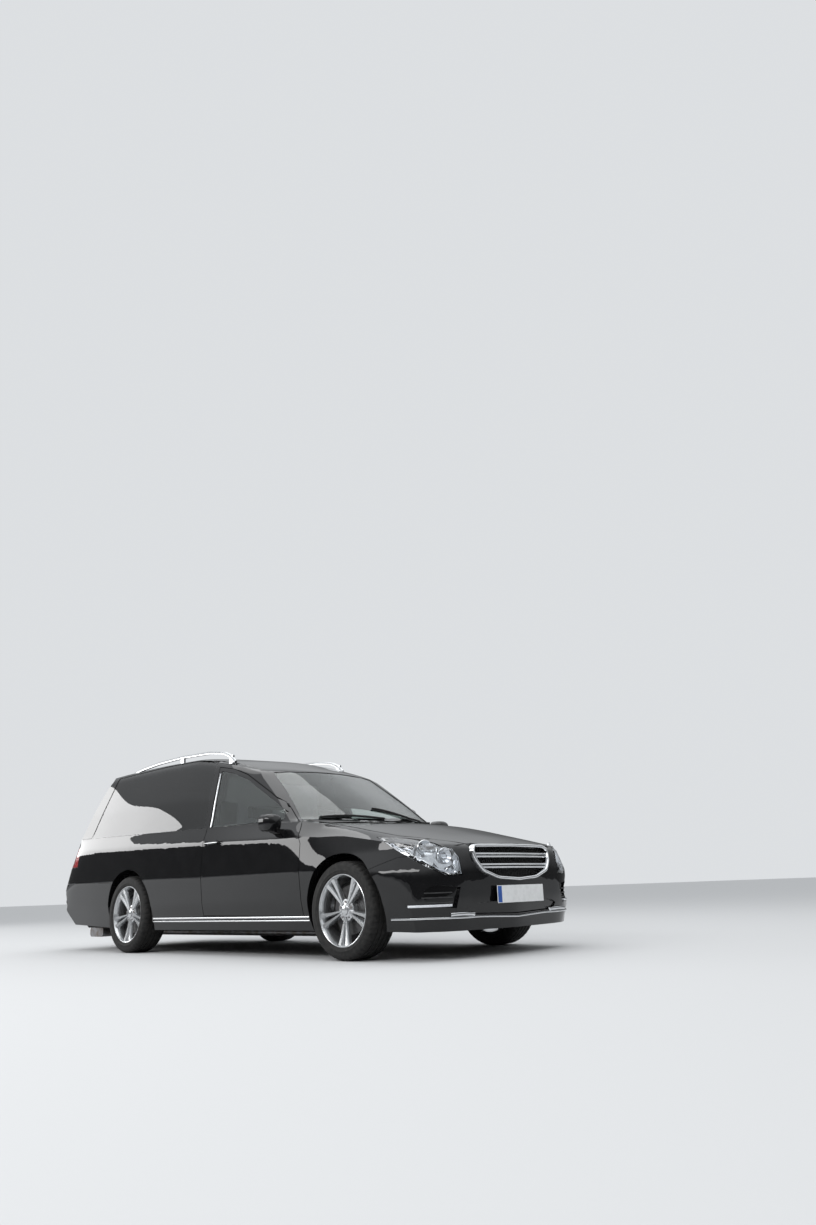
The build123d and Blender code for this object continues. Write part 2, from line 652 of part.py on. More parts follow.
# Floor between the side walls, cut round the rear wheel houses.
FLOOR_Z = 205
FLOOR_TOP = 240
HOUSE_WALL = 15
HOUSE_SIDES = 32
HOUSE_HALF = ARCH_REAR + HOUSE_WALL + SEAM
with BuildPart() as floor_pan:
    add(cavity.part)
    add(block(TAIL_X, FIREWALL_X, -1000, 1000, FLOOR_Z, FLOOR_TOP), mode=Mode.INTERSECT)
    for side in (1, -1):
        low, high = sorted((side * (REAR_HOUSE_Y - 2 * HOUSE_WALL), side * 1000))
        add(block(RX - HOUSE_HALF, RX + HOUSE_HALF, low, high, 100, 400), mode=Mode.SUBTRACT)
write(floor_pan.part, "floor_pan")

# Wheel houses: a half drum over each wheel, closed on its inner side.
HOUSE_FOOT_Z = TYRE_RADIUS - 90
ARM_SLOT = 130


def wheel_house(x, inner_y, outer_y, radius, slot_half, slot_top):
    """A half drum over the left wheel, with a slot low in its inner wall for the arms."""
    length = outer_y - inner_y
    with BuildPart() as house:
        with BuildSketch(Plane.XZ.offset(-outer_y)):
            with Locations((x, TYRE_RADIUS)):
                RegularPolygon(radius + HOUSE_WALL, HOUSE_SIDES)
        extrude(amount=length)
        with BuildSketch(Plane.XZ.offset(-outer_y)):
            with Locations((x, TYRE_RADIUS)):
                RegularPolygon(radius, HOUSE_SIDES)
        extrude(amount=length - HOUSE_WALL, mode=Mode.SUBTRACT)
        add(block(x - 600, x + 600, 0, 1000, -200, HOUSE_FOOT_Z), mode=Mode.SUBTRACT)
        add(block(x - slot_half, x + slot_half, 0, inner_y + 2 * HOUSE_WALL, 0, slot_top), mode=Mode.SUBTRACT)
    return house.part


rear_house = wheel_house(RX, REAR_HOUSE_Y - HOUSE_WALL, HALF_WIDTH - 60, ARCH_REAR, ARM_SLOT, 420)
rear_house = shared(rear_house, [cavity.part])
front_house = wheel_house(FX, STEER_ROOM_Y - HOUSE_WALL, WING_INNER_Y - 0.5, ARCH_FRONT, ARM_SLOT, 540)
right_houses = [mirror(house, about=Plane.XZ) for house in (front_house, rear_house)]
write(Compound([front_house, rear_house] + right_houses), "wheel_houses")

# Front structure: firewall, radiator panel and the two rails that join them.
RAIL_Y = 430
RAIL_WALL = 40
SIDE_RAIL_Z = 560
SUBFRAME_TOP = 235
PANEL_X = FX + 620
with BuildPart() as front_structure:
    add(block(FIREWALL_X, CAVITY_FRONT_X, -HALF_WIDTH + 250, HALF_WIDTH - 250, FLOOR_Z, 868))
    add(block(PANEL_X, PANEL_X + 30, -RAIL_Y, RAIL_Y, 260, 640))
    for side in (1, -1):
        low, high = sorted((side * RAIL_Y, side * (RAIL_Y - RAIL_WALL)))
        add(block(FIREWALL_X, PANEL_X + 5, low, high, SIDE_RAIL_Z, 640))
write(front_structure.part, "front_structure")

# Engine, one plain block lengthways between the rails.
with BuildPart() as engine:
    with BuildSketch(Plane.XY.offset(SUBFRAME_TOP)):
        with Locations((FX + 60, 0)):
            Rectangle(620, 520)
    extrude(amount=560, taper=3)
write(engine.part, "engine")

# Roof rails, slim bars that run down to the roof at both ends and stand on a foot between.
RAIL_OUT_Y = 640
RAIL_WIDTH = 30
RAIL_HIGH = 26
RAIL_FOOT = 70
ROOF_RAIL = [
    (FX - 1650, 1560), (FX - 1700, 1622), (FX - 1820, 1676), (FX - 2050, 1706), (FX - 2500, 1722), (FX - 2900, 1714),
    (FX - 3250, 1686), (FX - 3400, 1656), (FX - 3480, 1604),
]
RAIL_END_Z = 1500
rail_top = [(ROOF_RAIL[0][0], RAIL_END_Z)] + ROOF_RAIL + [(ROOF_RAIL[-1][0], RAIL_END_Z)]
rail_hollow = [(ROOF_RAIL[1][0] - RAIL_FOOT, RAIL_END_Z)]
rail_hollow += [(x, z - RAIL_HIGH) for x, z in ROOF_RAIL[2:-2]]
rail_hollow += [(ROOF_RAIL[-2][0] + RAIL_FOOT, RAIL_END_Z)]
rail_foot_x = ROOF_RAIL[4][0]
with BuildPart() as roof_rail:
    add(side_prism(rail_top, RAIL_OUT_Y - RAIL_WIDTH, RAIL_OUT_Y))
    add(side_prism(rail_hollow, RAIL_OUT_Y - RAIL_WIDTH, RAIL_OUT_Y), mode=Mode.SUBTRACT)
    add(block(
        rail_foot_x - RAIL_FOOT / 2, rail_foot_x + RAIL_FOOT / 2, RAIL_OUT_Y - RAIL_WIDTH, RAIL_OUT_Y, RAIL_END_Z,
        ROOF_RAIL[4][1] - RAIL_HIGH,
    ))
    add(upper_outside, mode=Mode.SUBTRACT)
write(both(roof_rail.part), "roof_rails")

# Partition behind the seats, with a window, shaped to the inside of the body.
PARTITION_X = FX - 1865
PARTITION_WALL = 25
with BuildPart() as partition:
    add(cavity.part)
    add(block(PARTITION_X, PARTITION_X + PARTITION_WALL, -1000, 1000, FLOOR_TOP, 1700), mode=Mode.INTERSECT)
    add(block(PARTITION_X - 10, PARTITION_X + 50, -470, 470, 1050, 1430), mode=Mode.SUBTRACT)
write(partition.part, "partition")

# Load deck: a table on side walls, with a pair of steel runners and cross rollers.
DECK_TOP = 765
DECK_PLATE = 25
DECK_HALF = 610
DECK_FRONT_X = PARTITION_X
DECK_REAR_X = RX - 1140
with BuildPart() as load_deck:
    add(block(DECK_REAR_X, DECK_FRONT_X, -DECK_HALF, DECK_HALF, DECK_TOP - DECK_PLATE, DECK_TOP))
    for side in (1, -1):
        low, high = sorted((side * (DECK_HALF - 20), side * DECK_HALF))
        add(block(DECK_REAR_X, DECK_FRONT_X, low, high, FLOOR_TOP, DECK_TOP - DECK_PLATE))
    add(block(DECK_REAR_X, DECK_REAR_X + 20, -DECK_HALF, DECK_HALF, FLOOR_TOP, DECK_TOP - DECK_PLATE))
write(load_deck.part, "load_deck")
RUNNER_Y = 250
RUNNER_HIGH = 22
ROLLERS = 6
ROLLER_PITCH = 345
ROLLER_RADIUS = 9
ROLLER_SIDES = 8
with BuildPart() as deck_runners:
    for side in (1, -1):
        with BuildSketch(Plane.YZ.offset(DECK_REAR_X + 40)):
            with Locations((side * RUNNER_Y, DECK_TOP + RUNNER_HIGH / 2)):
                Rectangle(60, RUNNER_HIGH)
        extrude(amount=DECK_FRONT_X - DECK_REAR_X - 80)
    for step in range(ROLLERS):
        with BuildSketch(Plane.XZ.offset(-RUNNER_Y)):
            with Locations((DECK_REAR_X + 100 + step * ROLLER_PITCH, DECK_TOP + ROLLER_RADIUS)):
                RegularPolygon(ROLLER_RADIUS, ROLLER_SIDES)
        extrude(amount=2 * RUNNER_Y)
write(deck_runners.part, "deck_runners")

# Dashboard and centre console.
DASH_HALF = 700
DASH_PROFILE = [
    (FIREWALL_X, 860), (FX - 600, 926), (FX - 840, 934), (FX - 905, 892), (FX - 930, 760), (FX - 850, 620),
    (FIREWALL_X, 600),
]
WHEEL_Y = 370
WHEEL_X = FX - 1065
WHEEL_Z = 845
COLUMN_TILT = 24
column_plane = Plane(
    origin=(WHEEL_X, WHEEL_Y, WHEEL_Z), x_dir=(0, 1, 0),
    z_dir=(-cos(radians(COLUMN_TILT)), 0, sin(radians(COLUMN_TILT))),
)
with BuildPart() as dashboard:
    add(side_prism(DASH_PROFILE, -DASH_HALF, DASH_HALF))
    add(block(FX - 1560, FX - 800, -105, 105, FLOOR_TOP, 520))
    add(block(FX - 900, FIREWALL_X, -105, 105, FLOOR_TOP, 640))
    with BuildSketch(column_plane.offset(-32)):
        Circle(34)
    extrude(amount=-190)
write(dashboard.part, "dashboard")

# Steering wheel: rim, three spokes and hub on the column's axis.
STEER_RADIUS = 182
STEER_GRIP = 14
STEER_SIDES = 24
with BuildPart() as steering_wheel:
    with BuildSketch(column_plane.offset(-STEER_GRIP)):
        RegularPolygon(STEER_RADIUS + STEER_GRIP, STEER_SIDES)
        RegularPolygon(STEER_RADIUS - STEER_GRIP, STEER_SIDES, mode=Mode.SUBTRACT)
    extrude(amount=2 * STEER_GRIP)
    with BuildSketch(column_plane.offset(-26)):
        RegularPolygon(62, STEER_SIDES)
    extrude(amount=34)
    with BuildSketch(column_plane.offset(-9)):
        with Locations((STEER_RADIUS / 2, 0), (-STEER_RADIUS / 2, 0)):
            Rectangle(STEER_RADIUS, 44)
        with Locations((0, STEER_RADIUS / 2)):
            Rectangle(40, STEER_RADIUS)
    extrude(amount=14)
write(steering_wheel.part, "steering_wheel")

# Seats, plain forms: cushion, leaning back and headrest, on a base on the floor.
SEAT_Y = 370
SEAT_HALF = 240
SEAT_PROFILE = [
    (FX - 1030, 330), (FX - 1025, 470), (FX - 1100, 500), (FX - 1440, 468), (FX - 1560, 1040), (FX - 1580, 1070),
    (FX - 1590, 1190), (FX - 1660, 1210), (FX - 1700, 1180), (FX - 1690, 1060), (FX - 1600, 520), (FX - 1560, 330),
]
with BuildPart() as seat:
    add(side_prism(SEAT_PROFILE, SEAT_Y - SEAT_HALF, SEAT_Y + SEAT_HALF))
    add(block(FX - 1720, FX - 1500, SEAT_Y + 135, SEAT_Y + 400, 1075, 1300), mode=Mode.SUBTRACT)
    add(block(FX - 1720, FX - 1500, SEAT_Y - 400, SEAT_Y - 135, 1075, 1300), mode=Mode.SUBTRACT)
    add(block(FX - 1500, FX - 1080, SEAT_Y - 180, SEAT_Y + 180, FLOOR_TOP, 335))
write(both(seat.part), "seats")

# Tyres and rims about the wheel's axle, with enough sides to look round.
WHEEL_SIDES = 48
HUB_SIDES = 24
SIDEWALL = TYRE_WIDTH / 2
SHOULDER = 30
SHOULDER_DROP = 21
BEAD_GAP = 0.3
RIM_HALF = SIDEWALL - 9
RIM_WALL = 20
HUB_RADIUS = 78
SPOKES = 5
SPOKE_FOOT = 17
SPOKE_TIP = 30
SPOKE_SPREAD = 8
SPOKE_TIP_SPREAD = 8.5
SPOKE_FACE = RIM_HALF - 12
SPOKE_DEPTH = 34
DISC_RADIUS = 165
DISC_FACE = 24
DISC_THICK = 28
TYRE_SECTIONS = [
    (-SIDEWALL, TYRE_RADIUS - SHOULDER_DROP), (SHOULDER - SIDEWALL, TYRE_RADIUS),
    (SIDEWALL - SHOULDER, TYRE_RADIUS), (SIDEWALL, TYRE_RADIUS - SHOULDER_DROP),
]


def ring(radius):
    """A ring of points round the axle."""
    turns = [radians(step * 360 / WHEEL_SIDES) for step in range(WHEEL_SIDES)]
    return [(radius * cos(turn), radius * sin(turn)) for turn in turns]


def make_tyre():
    """A tyre about the Y axis, centred on the origin."""
    with BuildPart() as tyre:
        planes = [Plane.XZ.offset(-y) for y, _ in TYRE_SECTIONS]
        add(ruled(planes, [ring(radius) for _, radius in TYRE_SECTIONS]))
        with BuildSketch(Plane.XZ.offset(-SIDEWALL)):
            RegularPolygon(RIM_RADIUS + BEAD_GAP, WHEEL_SIDES)
        extrude(amount=TYRE_WIDTH, mode=Mode.SUBTRACT)
    return tyre.part


def spoke(turn, lean):
    """The outline of one spoke, from the hub to the barrel."""
    foot = radians(-90 + turn * 360 / SPOKES + lean * SPOKE_SPREAD)
    tip = radians(-90 + turn * 360 / SPOKES + lean * SPOKE_TIP_SPREAD)
    near = (HUB_RADIUS * 0.6 * cos(foot), HUB_RADIUS * 0.6 * sin(foot))
    reach = RIM_RADIUS - RIM_WALL / 2
    far = (reach * cos(tip), reach * sin(tip))
    side = towards((0, 0), (near[1] - far[1], far[0] - near[0]), 0.5)
    return [
        (near[0] + side[0] * SPOKE_FOOT, near[1] + side[1] * SPOKE_FOOT),
        (far[0] + side[0] * SPOKE_TIP, far[1] + side[1] * SPOKE_TIP),
        (far[0] - side[0] * SPOKE_TIP, far[1] - side[1] * SPOKE_TIP),
        (near[0] - side[0] * SPOKE_FOOT, near[1] - side[1] * SPOKE_FOOT),
    ]


def make_rim():
    """A rim with its twin spokes, hub and brake disc about the Y axis, its outer face towards +Y."""
    with BuildPart() as rim:
        with BuildSketch(Plane.XZ.offset(-RIM_HALF)):
            RegularPolygon(RIM_RADIUS, WHEEL_SIDES)
            RegularPolygon(RIM_RADIUS - RIM_WALL, WHEEL_SIDES, mode=Mode.SUBTRACT)
        extrude(amount=2 * RIM_HALF)
        with BuildSketch(Plane.XZ.offset(-SPOKE_FACE)):
            for turn in range(SPOKES):
                for lean in (-1, 1):
                    with BuildLine():
                        Polyline(*spoke(turn, lean), close=True)
                    make_face()
        extrude(amount=SPOKE_DEPTH)
        with BuildSketch(Plane.XZ.offset(-SPOKE_FACE)):
            RegularPolygon(HUB_RADIUS, HUB_SIDES)
        extrude(amount=SPOKE_FACE - DISC_FACE + 2)
        with BuildSketch(Plane.XZ.offset(-DISC_FACE)):
            RegularPolygon(DISC_RADIUS, WHEEL_SIDES)
        extrude(amount=DISC_THICK)
        with BuildSketch(Plane.XZ.offset(DISC_THICK)):
            Circle(SPINDLE_RADIUS + SPINDLE_GAP)
        extrude(amount=-(DISC_THICK + SPINDLE_REACH), mode=Mode.SUBTRACT)
    return rim.part


tyre_solid = make_tyre()
rim_solid = make_rim()
WHEELS = [
    ("front_left", FX, TRACK_FRONT / 2, 1), ("front_right", FX, TRACK_FRONT / 2, -1),
    ("rear_left", RX, TRACK_REAR / 2, 1), ("rear_right", RX, TRACK_REAR / 2, -1),
]
for place, wheel_x, wheel_y, side in WHEELS:
    for solid, kind in ((tyre_solid, "tyre"), (rim_solid, "rim")):
        with BuildPart() as wheel_piece:
            with Locations((wheel_x, wheel_y, TYRE_RADIUS)):
                add(solid)
        piece = wheel_piece.part if side > 0 else mirror(wheel_piece.part, about=Plane.XZ)
        write(piece, f"{kind}_{place}")

# Steering knuckles: an upright on the steering axis with its spindle and brake caliper.
KNUCKLE_Y = TRACK_FRONT / 2 - KINGPIN_IN
ARM_REACH_Z = 138
UPRIGHT_RADIUS = 17
UPRIGHT_SIDES = 8
PIN_RADIUS = 8
PIN_DEPTH = 22
ARM_THICK = 26
PIVOT_GAP = 1
DISC_IN_Y = TRACK_FRONT / 2 + DISC_FACE - DISC_THICK
with BuildPart() as knuckle:
    with BuildSketch(Plane.XY.offset(TYRE_RADIUS - ARM_REACH_Z)):
        with Locations((FX, KNUCKLE_Y)):
            RegularPolygon(UPRIGHT_RADIUS, UPRIGHT_SIDES)
    extrude(amount=2 * ARM_REACH_Z)
    with BuildSketch(Plane.XZ.offset(-(KNUCKLE_Y - 10))):
        with Locations((FX, TYRE_RADIUS)):
            RegularPolygon(SPINDLE_RADIUS + 10, 12)
    extrude(amount=-(DISC_IN_Y - SHUT_GAP - KNUCKLE_Y + 10))
    with BuildSketch(Plane.XZ.offset(-(KNUCKLE_Y))):
        with Locations((FX, TYRE_RADIUS)):
            Circle(SPINDLE_RADIUS)
    extrude(amount=-(TRACK_FRONT / 2 + SPINDLE_REACH - PIVOT_GAP - KNUCKLE_Y))
    for end in (-1, 1):
        with BuildSketch(Plane.XY.offset(TYRE_RADIUS + end * ARM_REACH_Z)):
            with Locations((FX, KNUCKLE_Y)):
                Circle(PIN_RADIUS + SPINDLE_GAP)
        extrude(amount=-end * (PIN_DEPTH + PIVOT_GAP), mode=Mode.SUBTRACT)
write_pair(knuckle.part, "knuckle")

# Front subframe with its lower and upper arms, each ending in a pin on the steering axis.
with BuildPart() as front_subframe:
    add(block(FX - 110, FX + 110, -RAIL_Y, RAIL_Y, 175, SUBFRAME_TOP))
    for side in (1, -1):
        low, high = sorted((side * (RAIL_Y - 60), side * RAIL_Y))
        add(block(FX - 50, FX + 50, low, high, 175, SIDE_RAIL_Z))
        for end in (-1, 1):
            arm_z = TYRE_RADIUS + end * (ARM_REACH_Z + PIVOT_GAP + ARM_THICK / 2) - ARM_THICK / 2
            inner, tip = side * (RAIL_Y - 5), side * KNUCKLE_Y
            with BuildSketch(Plane.XY.offset(arm_z)):
                with BuildLine():
                    Polyline((FX - 60, inner), (FX + 60, inner), (FX + 16, tip), (FX - 16, tip), close=True)
                make_face()
                with Locations((FX, tip)):
                    RegularPolygon(UPRIGHT_RADIUS, UPRIGHT_SIDES)
            extrude(amount=ARM_THICK)
            with BuildSketch(Plane.XY.offset(TYRE_RADIUS + end * (ARM_REACH_Z + PIVOT_GAP))):
                with Locations((FX, tip)):
                    Circle(PIN_RADIUS)
            extrude(amount=-end * (PIN_DEPTH))
write(front_subframe.part, "front_subframe")

# Rear axle: crossmember, arms and hub carriers with their spindles.
CARRIER_Y = TRACK_REAR / 2 + DISC_FACE - DISC_THICK - SHUT_GAP
AXLE_Z = FLOOR_Z - 30
with BuildPart() as rear_axle:
    add(block(RX - 110, RX + 110, -420, 420, AXLE_Z, FLOOR_Z))
    for side in (1, -1):
        low, high = sorted((side * 400, side * (CARRIER_Y - 30)))
        add(block(RX - 45, RX + 45, low, high, AXLE_Z, FLOOR_Z))
        low, high = sorted((side * (CARRIER_Y - 60), side * CARRIER_Y))
        add(block(RX - 40, RX + 40, low, high, AXLE_Z, TYRE_RADIUS + 60))
        reach = TRACK_REAR / 2 + SPINDLE_REACH - PIVOT_GAP - CARRIER_Y + 1
        add(round_bar(RX, side * (CARRIER_Y - 1), TYRE_RADIUS, SPINDLE_RADIUS, reach, side))
write(rear_axle.part, "rear_axle")

# Exhaust: pipe under the floor, silencer across the tail and two end pipes.
SILENCER_X = RX - 1080
SILENCER_HIGH = 92
PIPE_RADIUS = 28
with BuildPart() as exhaust:
    with BuildSketch(Plane.XZ.offset(-620)):
        with Locations((SILENCER_X, FLOOR_Z - SILENCER_HIGH / 2)):
            RectangleRounded(260, SILENCER_HIGH, 35)
    extrude(amount=2 * 620)
    with BuildSketch(Plane.YZ.offset(SILENCER_X + 60)):
        with Locations((-250, AXLE_Z - 2 - PIPE_RADIUS)):
            Circle(PIPE_RADIUS)
    extrude(amount=CAVITY_FRONT_X - 200 - SILENCER_X)
write(exhaust.part, "exhaust")
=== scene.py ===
import json
import math

import bmesh
import bpy
import numpy as np
from mathutils import Matrix, Vector
from mathutils.bvhtree import BVHTree
from mathutils.kdtree import KDTree


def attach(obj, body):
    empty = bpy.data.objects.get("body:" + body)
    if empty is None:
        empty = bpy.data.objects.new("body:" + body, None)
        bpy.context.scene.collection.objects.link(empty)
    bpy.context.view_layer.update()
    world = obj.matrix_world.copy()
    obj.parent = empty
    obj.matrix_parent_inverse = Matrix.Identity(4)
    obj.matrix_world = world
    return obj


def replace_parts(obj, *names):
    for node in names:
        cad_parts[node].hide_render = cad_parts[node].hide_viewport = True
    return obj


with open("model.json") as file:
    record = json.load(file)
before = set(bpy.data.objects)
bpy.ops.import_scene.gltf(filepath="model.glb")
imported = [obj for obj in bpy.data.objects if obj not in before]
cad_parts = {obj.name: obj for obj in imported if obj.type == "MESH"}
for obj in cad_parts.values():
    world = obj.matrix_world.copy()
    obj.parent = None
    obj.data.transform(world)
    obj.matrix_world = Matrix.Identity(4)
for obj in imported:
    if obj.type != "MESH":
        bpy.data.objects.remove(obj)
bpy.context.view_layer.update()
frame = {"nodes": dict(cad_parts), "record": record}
nodes = frame["nodes"]

# Studio: a wide pale floor under a dome that is bright overhead and dim near the horizon, as a street is,
# with soft lamps above and beside, and the camera low at the right front corner, as in the photograph.
FLOOR_COLOUR = (0.52, 0.525, 0.53, 1.0)
FLOOR_ROUGHNESS = 0.85
SKY_COLOUR = (0.72, 0.74, 0.76, 1.0)
FLOOR_REACH = 400
DOME_RISE = (0.08, 0.6)
DOME_LEVELS = (0.16, 1.35)
CAMERA_PLACE = (6.513, -5.193, 0.438)
CAMERA_LENS = 26.09
CAMERA_SENSOR = 36.0
CAMERA_YAW, CAMERA_PITCH, CAMERA_ROLL = 133.43, 17.41, -2.08
LAMPS = [
    ("lamp_top", (0.0, 0.0, 9.0), (0.0, 0.0, 0.6), (14.0, 9.0), 480),
    ("lamp_side", (1.5, -10.5, 6.2), (0.0, -0.6, 1.0), (13.0, 2.4), 620),
    ("lamp_rear", (-13.5, -6.4, 4.4), (-0.8, -0.7, 1.3), (13.0, 3.4), 700),
]


def mesh_of(name, verts, faces):
    """A mesh from its corners and faces."""
    mesh = bpy.data.meshes.new(name)
    mesh.from_pydata(verts, [], faces)
    return mesh


def add_object(name, data):
    """A new object in the scene."""
    thing = bpy.data.objects.new(name, data)
    bpy.context.scene.collection.objects.link(thing)
    return thing


def wire(tree, pairs):
    """Link pairs of sockets in a tree of shader nodes."""
    for start_socket, end_socket in pairs:
        tree.links.new(start_socket, end_socket)


floor_corners = [(x * FLOOR_REACH, y * FLOOR_REACH, 0) for x, y in ((-1, -1), (1, -1), (1, 1), (-1, 1))]
floor_mesh = mesh_of("studio_floor", floor_corners, [(0, 1, 2, 3)])
floor_material = bpy.data.materials.new("pale_floor")
floor_material.use_nodes = True
floor_shader = floor_material.node_tree.nodes["Principled BSDF"]
floor_shader.inputs["Base Color"].default_value = FLOOR_COLOUR
floor_shader.inputs["Roughness"].default_value = FLOOR_ROUGHNESS
studio_floor = add_object("studio_floor", floor_mesh)
floor_mesh.materials.append(floor_material)

world = bpy.data.worlds.new("studio_sky")
bpy.context.scene.world = world
world.use_nodes = True
sky = world.node_tree
background = sky.nodes["Background"]
light_path = sky.nodes.new("ShaderNodeLightPath")
ray_way = sky.nodes.new("ShaderNodeTexCoord")
ray_parts = sky.nodes.new("ShaderNodeSeparateXYZ")
dome = sky.nodes.new("ShaderNodeMapRange")
dome.interpolation_type = "SMOOTHSTEP"
dome.inputs["From Min"].default_value, dome.inputs["From Max"].default_value = DOME_RISE
dome.inputs["To Min"].default_value, dome.inputs["To Max"].default_value = DOME_LEVELS
level = sky.nodes.new("ShaderNodeMapRange")
level.inputs["To Max"].default_value = 1.0
either = sky.nodes.new("ShaderNodeMath")
either.operation = "MAXIMUM"
wire(sky, [
    (ray_way.outputs["Generated"], ray_parts.inputs[0]), (ray_parts.outputs["Z"], dome.inputs["Value"]),
    (dome.outputs[0], level.inputs["To Min"]), (light_path.outputs["Is Camera Ray"], either.inputs[0]),
    (light_path.outputs["Is Transmission Ray"], either.inputs[1]),
    (either.outputs[0], level.inputs["Value"]), (level.outputs[0], background.inputs["Strength"]),
])
background.inputs["Color"].default_value = SKY_COLOUR

for lamp_name, lamp_place, lamp_target, lamp_size, lamp_power in LAMPS:
    lamp_data = bpy.data.lights.new(lamp_name, "AREA")
    lamp_data.shape = "RECTANGLE"
    lamp_data.size, lamp_data.size_y = lamp_size
    lamp_data.energy = lamp_power
    lamp = add_object(lamp_name, lamp_data)
    lamp.location = lamp_place
    lamp.visible_camera = False
    lamp.rotation_euler = (Vector(lamp_target) - Vector(lamp_place)).to_track_quat("-Z", "Y").to_euler()

camera_data = bpy.data.cameras.new("photo_camera")
camera_data.sensor_fit = "VERTICAL"
camera_data.sensor_width = CAMERA_SENSOR
camera_data.sensor_height = CAMERA_SENSOR
camera_data.lens = CAMERA_LENS
photo_camera = add_object("photo_camera", camera_data)
yaw, pitch, roll = (math.radians(angle) for angle in (CAMERA_YAW, CAMERA_PITCH, CAMERA_ROLL))
look = Vector((math.cos(yaw) * math.cos(pitch), math.sin(yaw) * math.cos(pitch), math.sin(pitch)))
photo_camera.location = CAMERA_PLACE
photo_camera.rotation_euler = (
    look.to_track_quat("-Z", "Y").to_matrix() @ Matrix.Rotation(roll, 3, "Z")
).to_euler()
bpy.context.scene.camera = photo_camera
bpy.context.scene.view_settings.view_transform = "Standard"

# Underbody: steel floor, firewall, side rails and wheel houses, welded to the body sides and coated in matt
# underseal, with the iron subframe, axle and engine bolted below. These pieces keep their CAD form.
UNDERSEAL = ((0.022, 0.022, 0.023), (0.05, 0.047, 0.043))
CAST_IRON = ((0.045, 0.043, 0.041), (0.1, 0.075, 0.055))
BARE_STEEL = ((0.3, 0.3, 0.31), (0.2, 0.17, 0.15))
MOULDED_BLACK = ((0.014, 0.014, 0.015), (0.03, 0.03, 0.031))
BROAD_DETAIL, FINE_DETAIL, FINE_TIMES = 5.0, 3.0, 7.0
SPOT_LEVELS = (0.38, 0.68)

speckle = bpy.data.node_groups.new("speckle", "ShaderNodeTree")
for label, kind in [
    ("Vector", "NodeSocketVector"), ("Colour", "NodeSocketColor"), ("Shade", "NodeSocketColor"),
    ("Scale", "NodeSocketFloat"), ("Roughness Low", "NodeSocketFloat"), ("Roughness High", "NodeSocketFloat"),
]:
    speckle.interface.new_socket(label, in_out="INPUT", socket_type=kind)
for label, kind in [
    ("Colour", "NodeSocketColor"), ("Roughness", "NodeSocketFloat"), ("Height", "NodeSocketFloat"),
]:
    speckle.interface.new_socket(label, in_out="OUTPUT", socket_type=kind)
group_in = speckle.nodes.new("NodeGroupInput")
group_out = speckle.nodes.new("NodeGroupOutput")
broad = speckle.nodes.new("ShaderNodeTexNoise")
broad.inputs["Detail"].default_value = BROAD_DETAIL
fine_scale = speckle.nodes.new("ShaderNodeMath")
fine_scale.operation = "MULTIPLY"
fine_scale.inputs[1].default_value = FINE_TIMES
fine = speckle.nodes.new("ShaderNodeTexNoise")
fine.inputs["Detail"].default_value = FINE_DETAIL
spots = speckle.nodes.new("ShaderNodeMapRange")
spots.inputs["From Min"].default_value, spots.inputs["From Max"].default_value = SPOT_LEVELS
blend_colour = speckle.nodes.new("ShaderNodeMix")
blend_colour.data_type = "RGBA"
rough_range = speckle.nodes.new("ShaderNodeMapRange")
wire(speckle, [
    (group_in.outputs["Vector"], broad.inputs["Vector"]), (group_in.outputs["Scale"], broad.inputs["Scale"]),
    (group_in.outputs["Scale"], fine_scale.inputs[0]), (group_in.outputs["Vector"], fine.inputs["Vector"]),
    (fine_scale.outputs[0], fine.inputs["Scale"]), (broad.outputs["Fac"], spots.inputs["Value"]),
    (spots.outputs[0], blend_colour.inputs["Factor"]), (group_in.outputs["Colour"], blend_colour.inputs["A"]),
    (group_in.outputs["Shade"], blend_colour.inputs["B"]),
    (blend_colour.outputs["Result"], group_out.inputs["Colour"]),
    (fine.outputs["Fac"], rough_range.inputs["Value"]),
    (group_in.outputs["Roughness Low"], rough_range.inputs["To Min"]),
    (group_in.outputs["Roughness High"], rough_range.inputs["To Max"]),
    (rough_range.outputs[0], group_out.inputs["Roughness"]),
    (fine.outputs["Fac"], group_out.inputs["Height"]),
])


def surface(name, colours, scale, roughness, bump, depth, metallic=0.0, coat=0.0, clear=0.0):
    """A material whose colour, roughness and height vary a little over the piece."""
    material = bpy.data.materials.new(name)
    material.use_nodes = True
    tree = material.node_tree
    shader = tree.nodes["Principled BSDF"]
    place = tree.nodes.new("ShaderNodeTexCoord")
    grain = tree.nodes.new("ShaderNodeGroup")
    grain.node_tree = speckle
    grain.inputs["Colour"].default_value = (*colours[0], 1.0)
    grain.inputs["Shade"].default_value = (*colours[1], 1.0)
    grain.inputs["Scale"].default_value = scale
    grain.inputs["Roughness Low"].default_value = roughness[0]
    grain.inputs["Roughness High"].default_value = roughness[1]
    lift = tree.nodes.new("ShaderNodeBump")
    lift.inputs["Strength"].default_value = bump
    lift.inputs["Distance"].default_value = depth
    wire(tree, [
        (place.outputs["Object"], grain.inputs["Vector"]),
        (grain.outputs["Colour"], shader.inputs["Base Color"]),
        (grain.outputs["Roughness"], shader.inputs["Roughness"]),
        (grain.outputs["Height"], lift.inputs["Height"]), (lift.outputs["Normal"], shader.inputs["Normal"]),
    ])
    shader.inputs["Metallic"].default_value = metallic
    shader.inputs["Coat Weight"].default_value = coat
    shader.inputs["Transmission Weight"].default_value = clear
    return material


def coat_nodes(names, material):
    """Give CAD nodes that keep their form a material."""
    for name in names:
        nodes[name].data.materials.clear()
        nodes[name].data.materials.append(material)


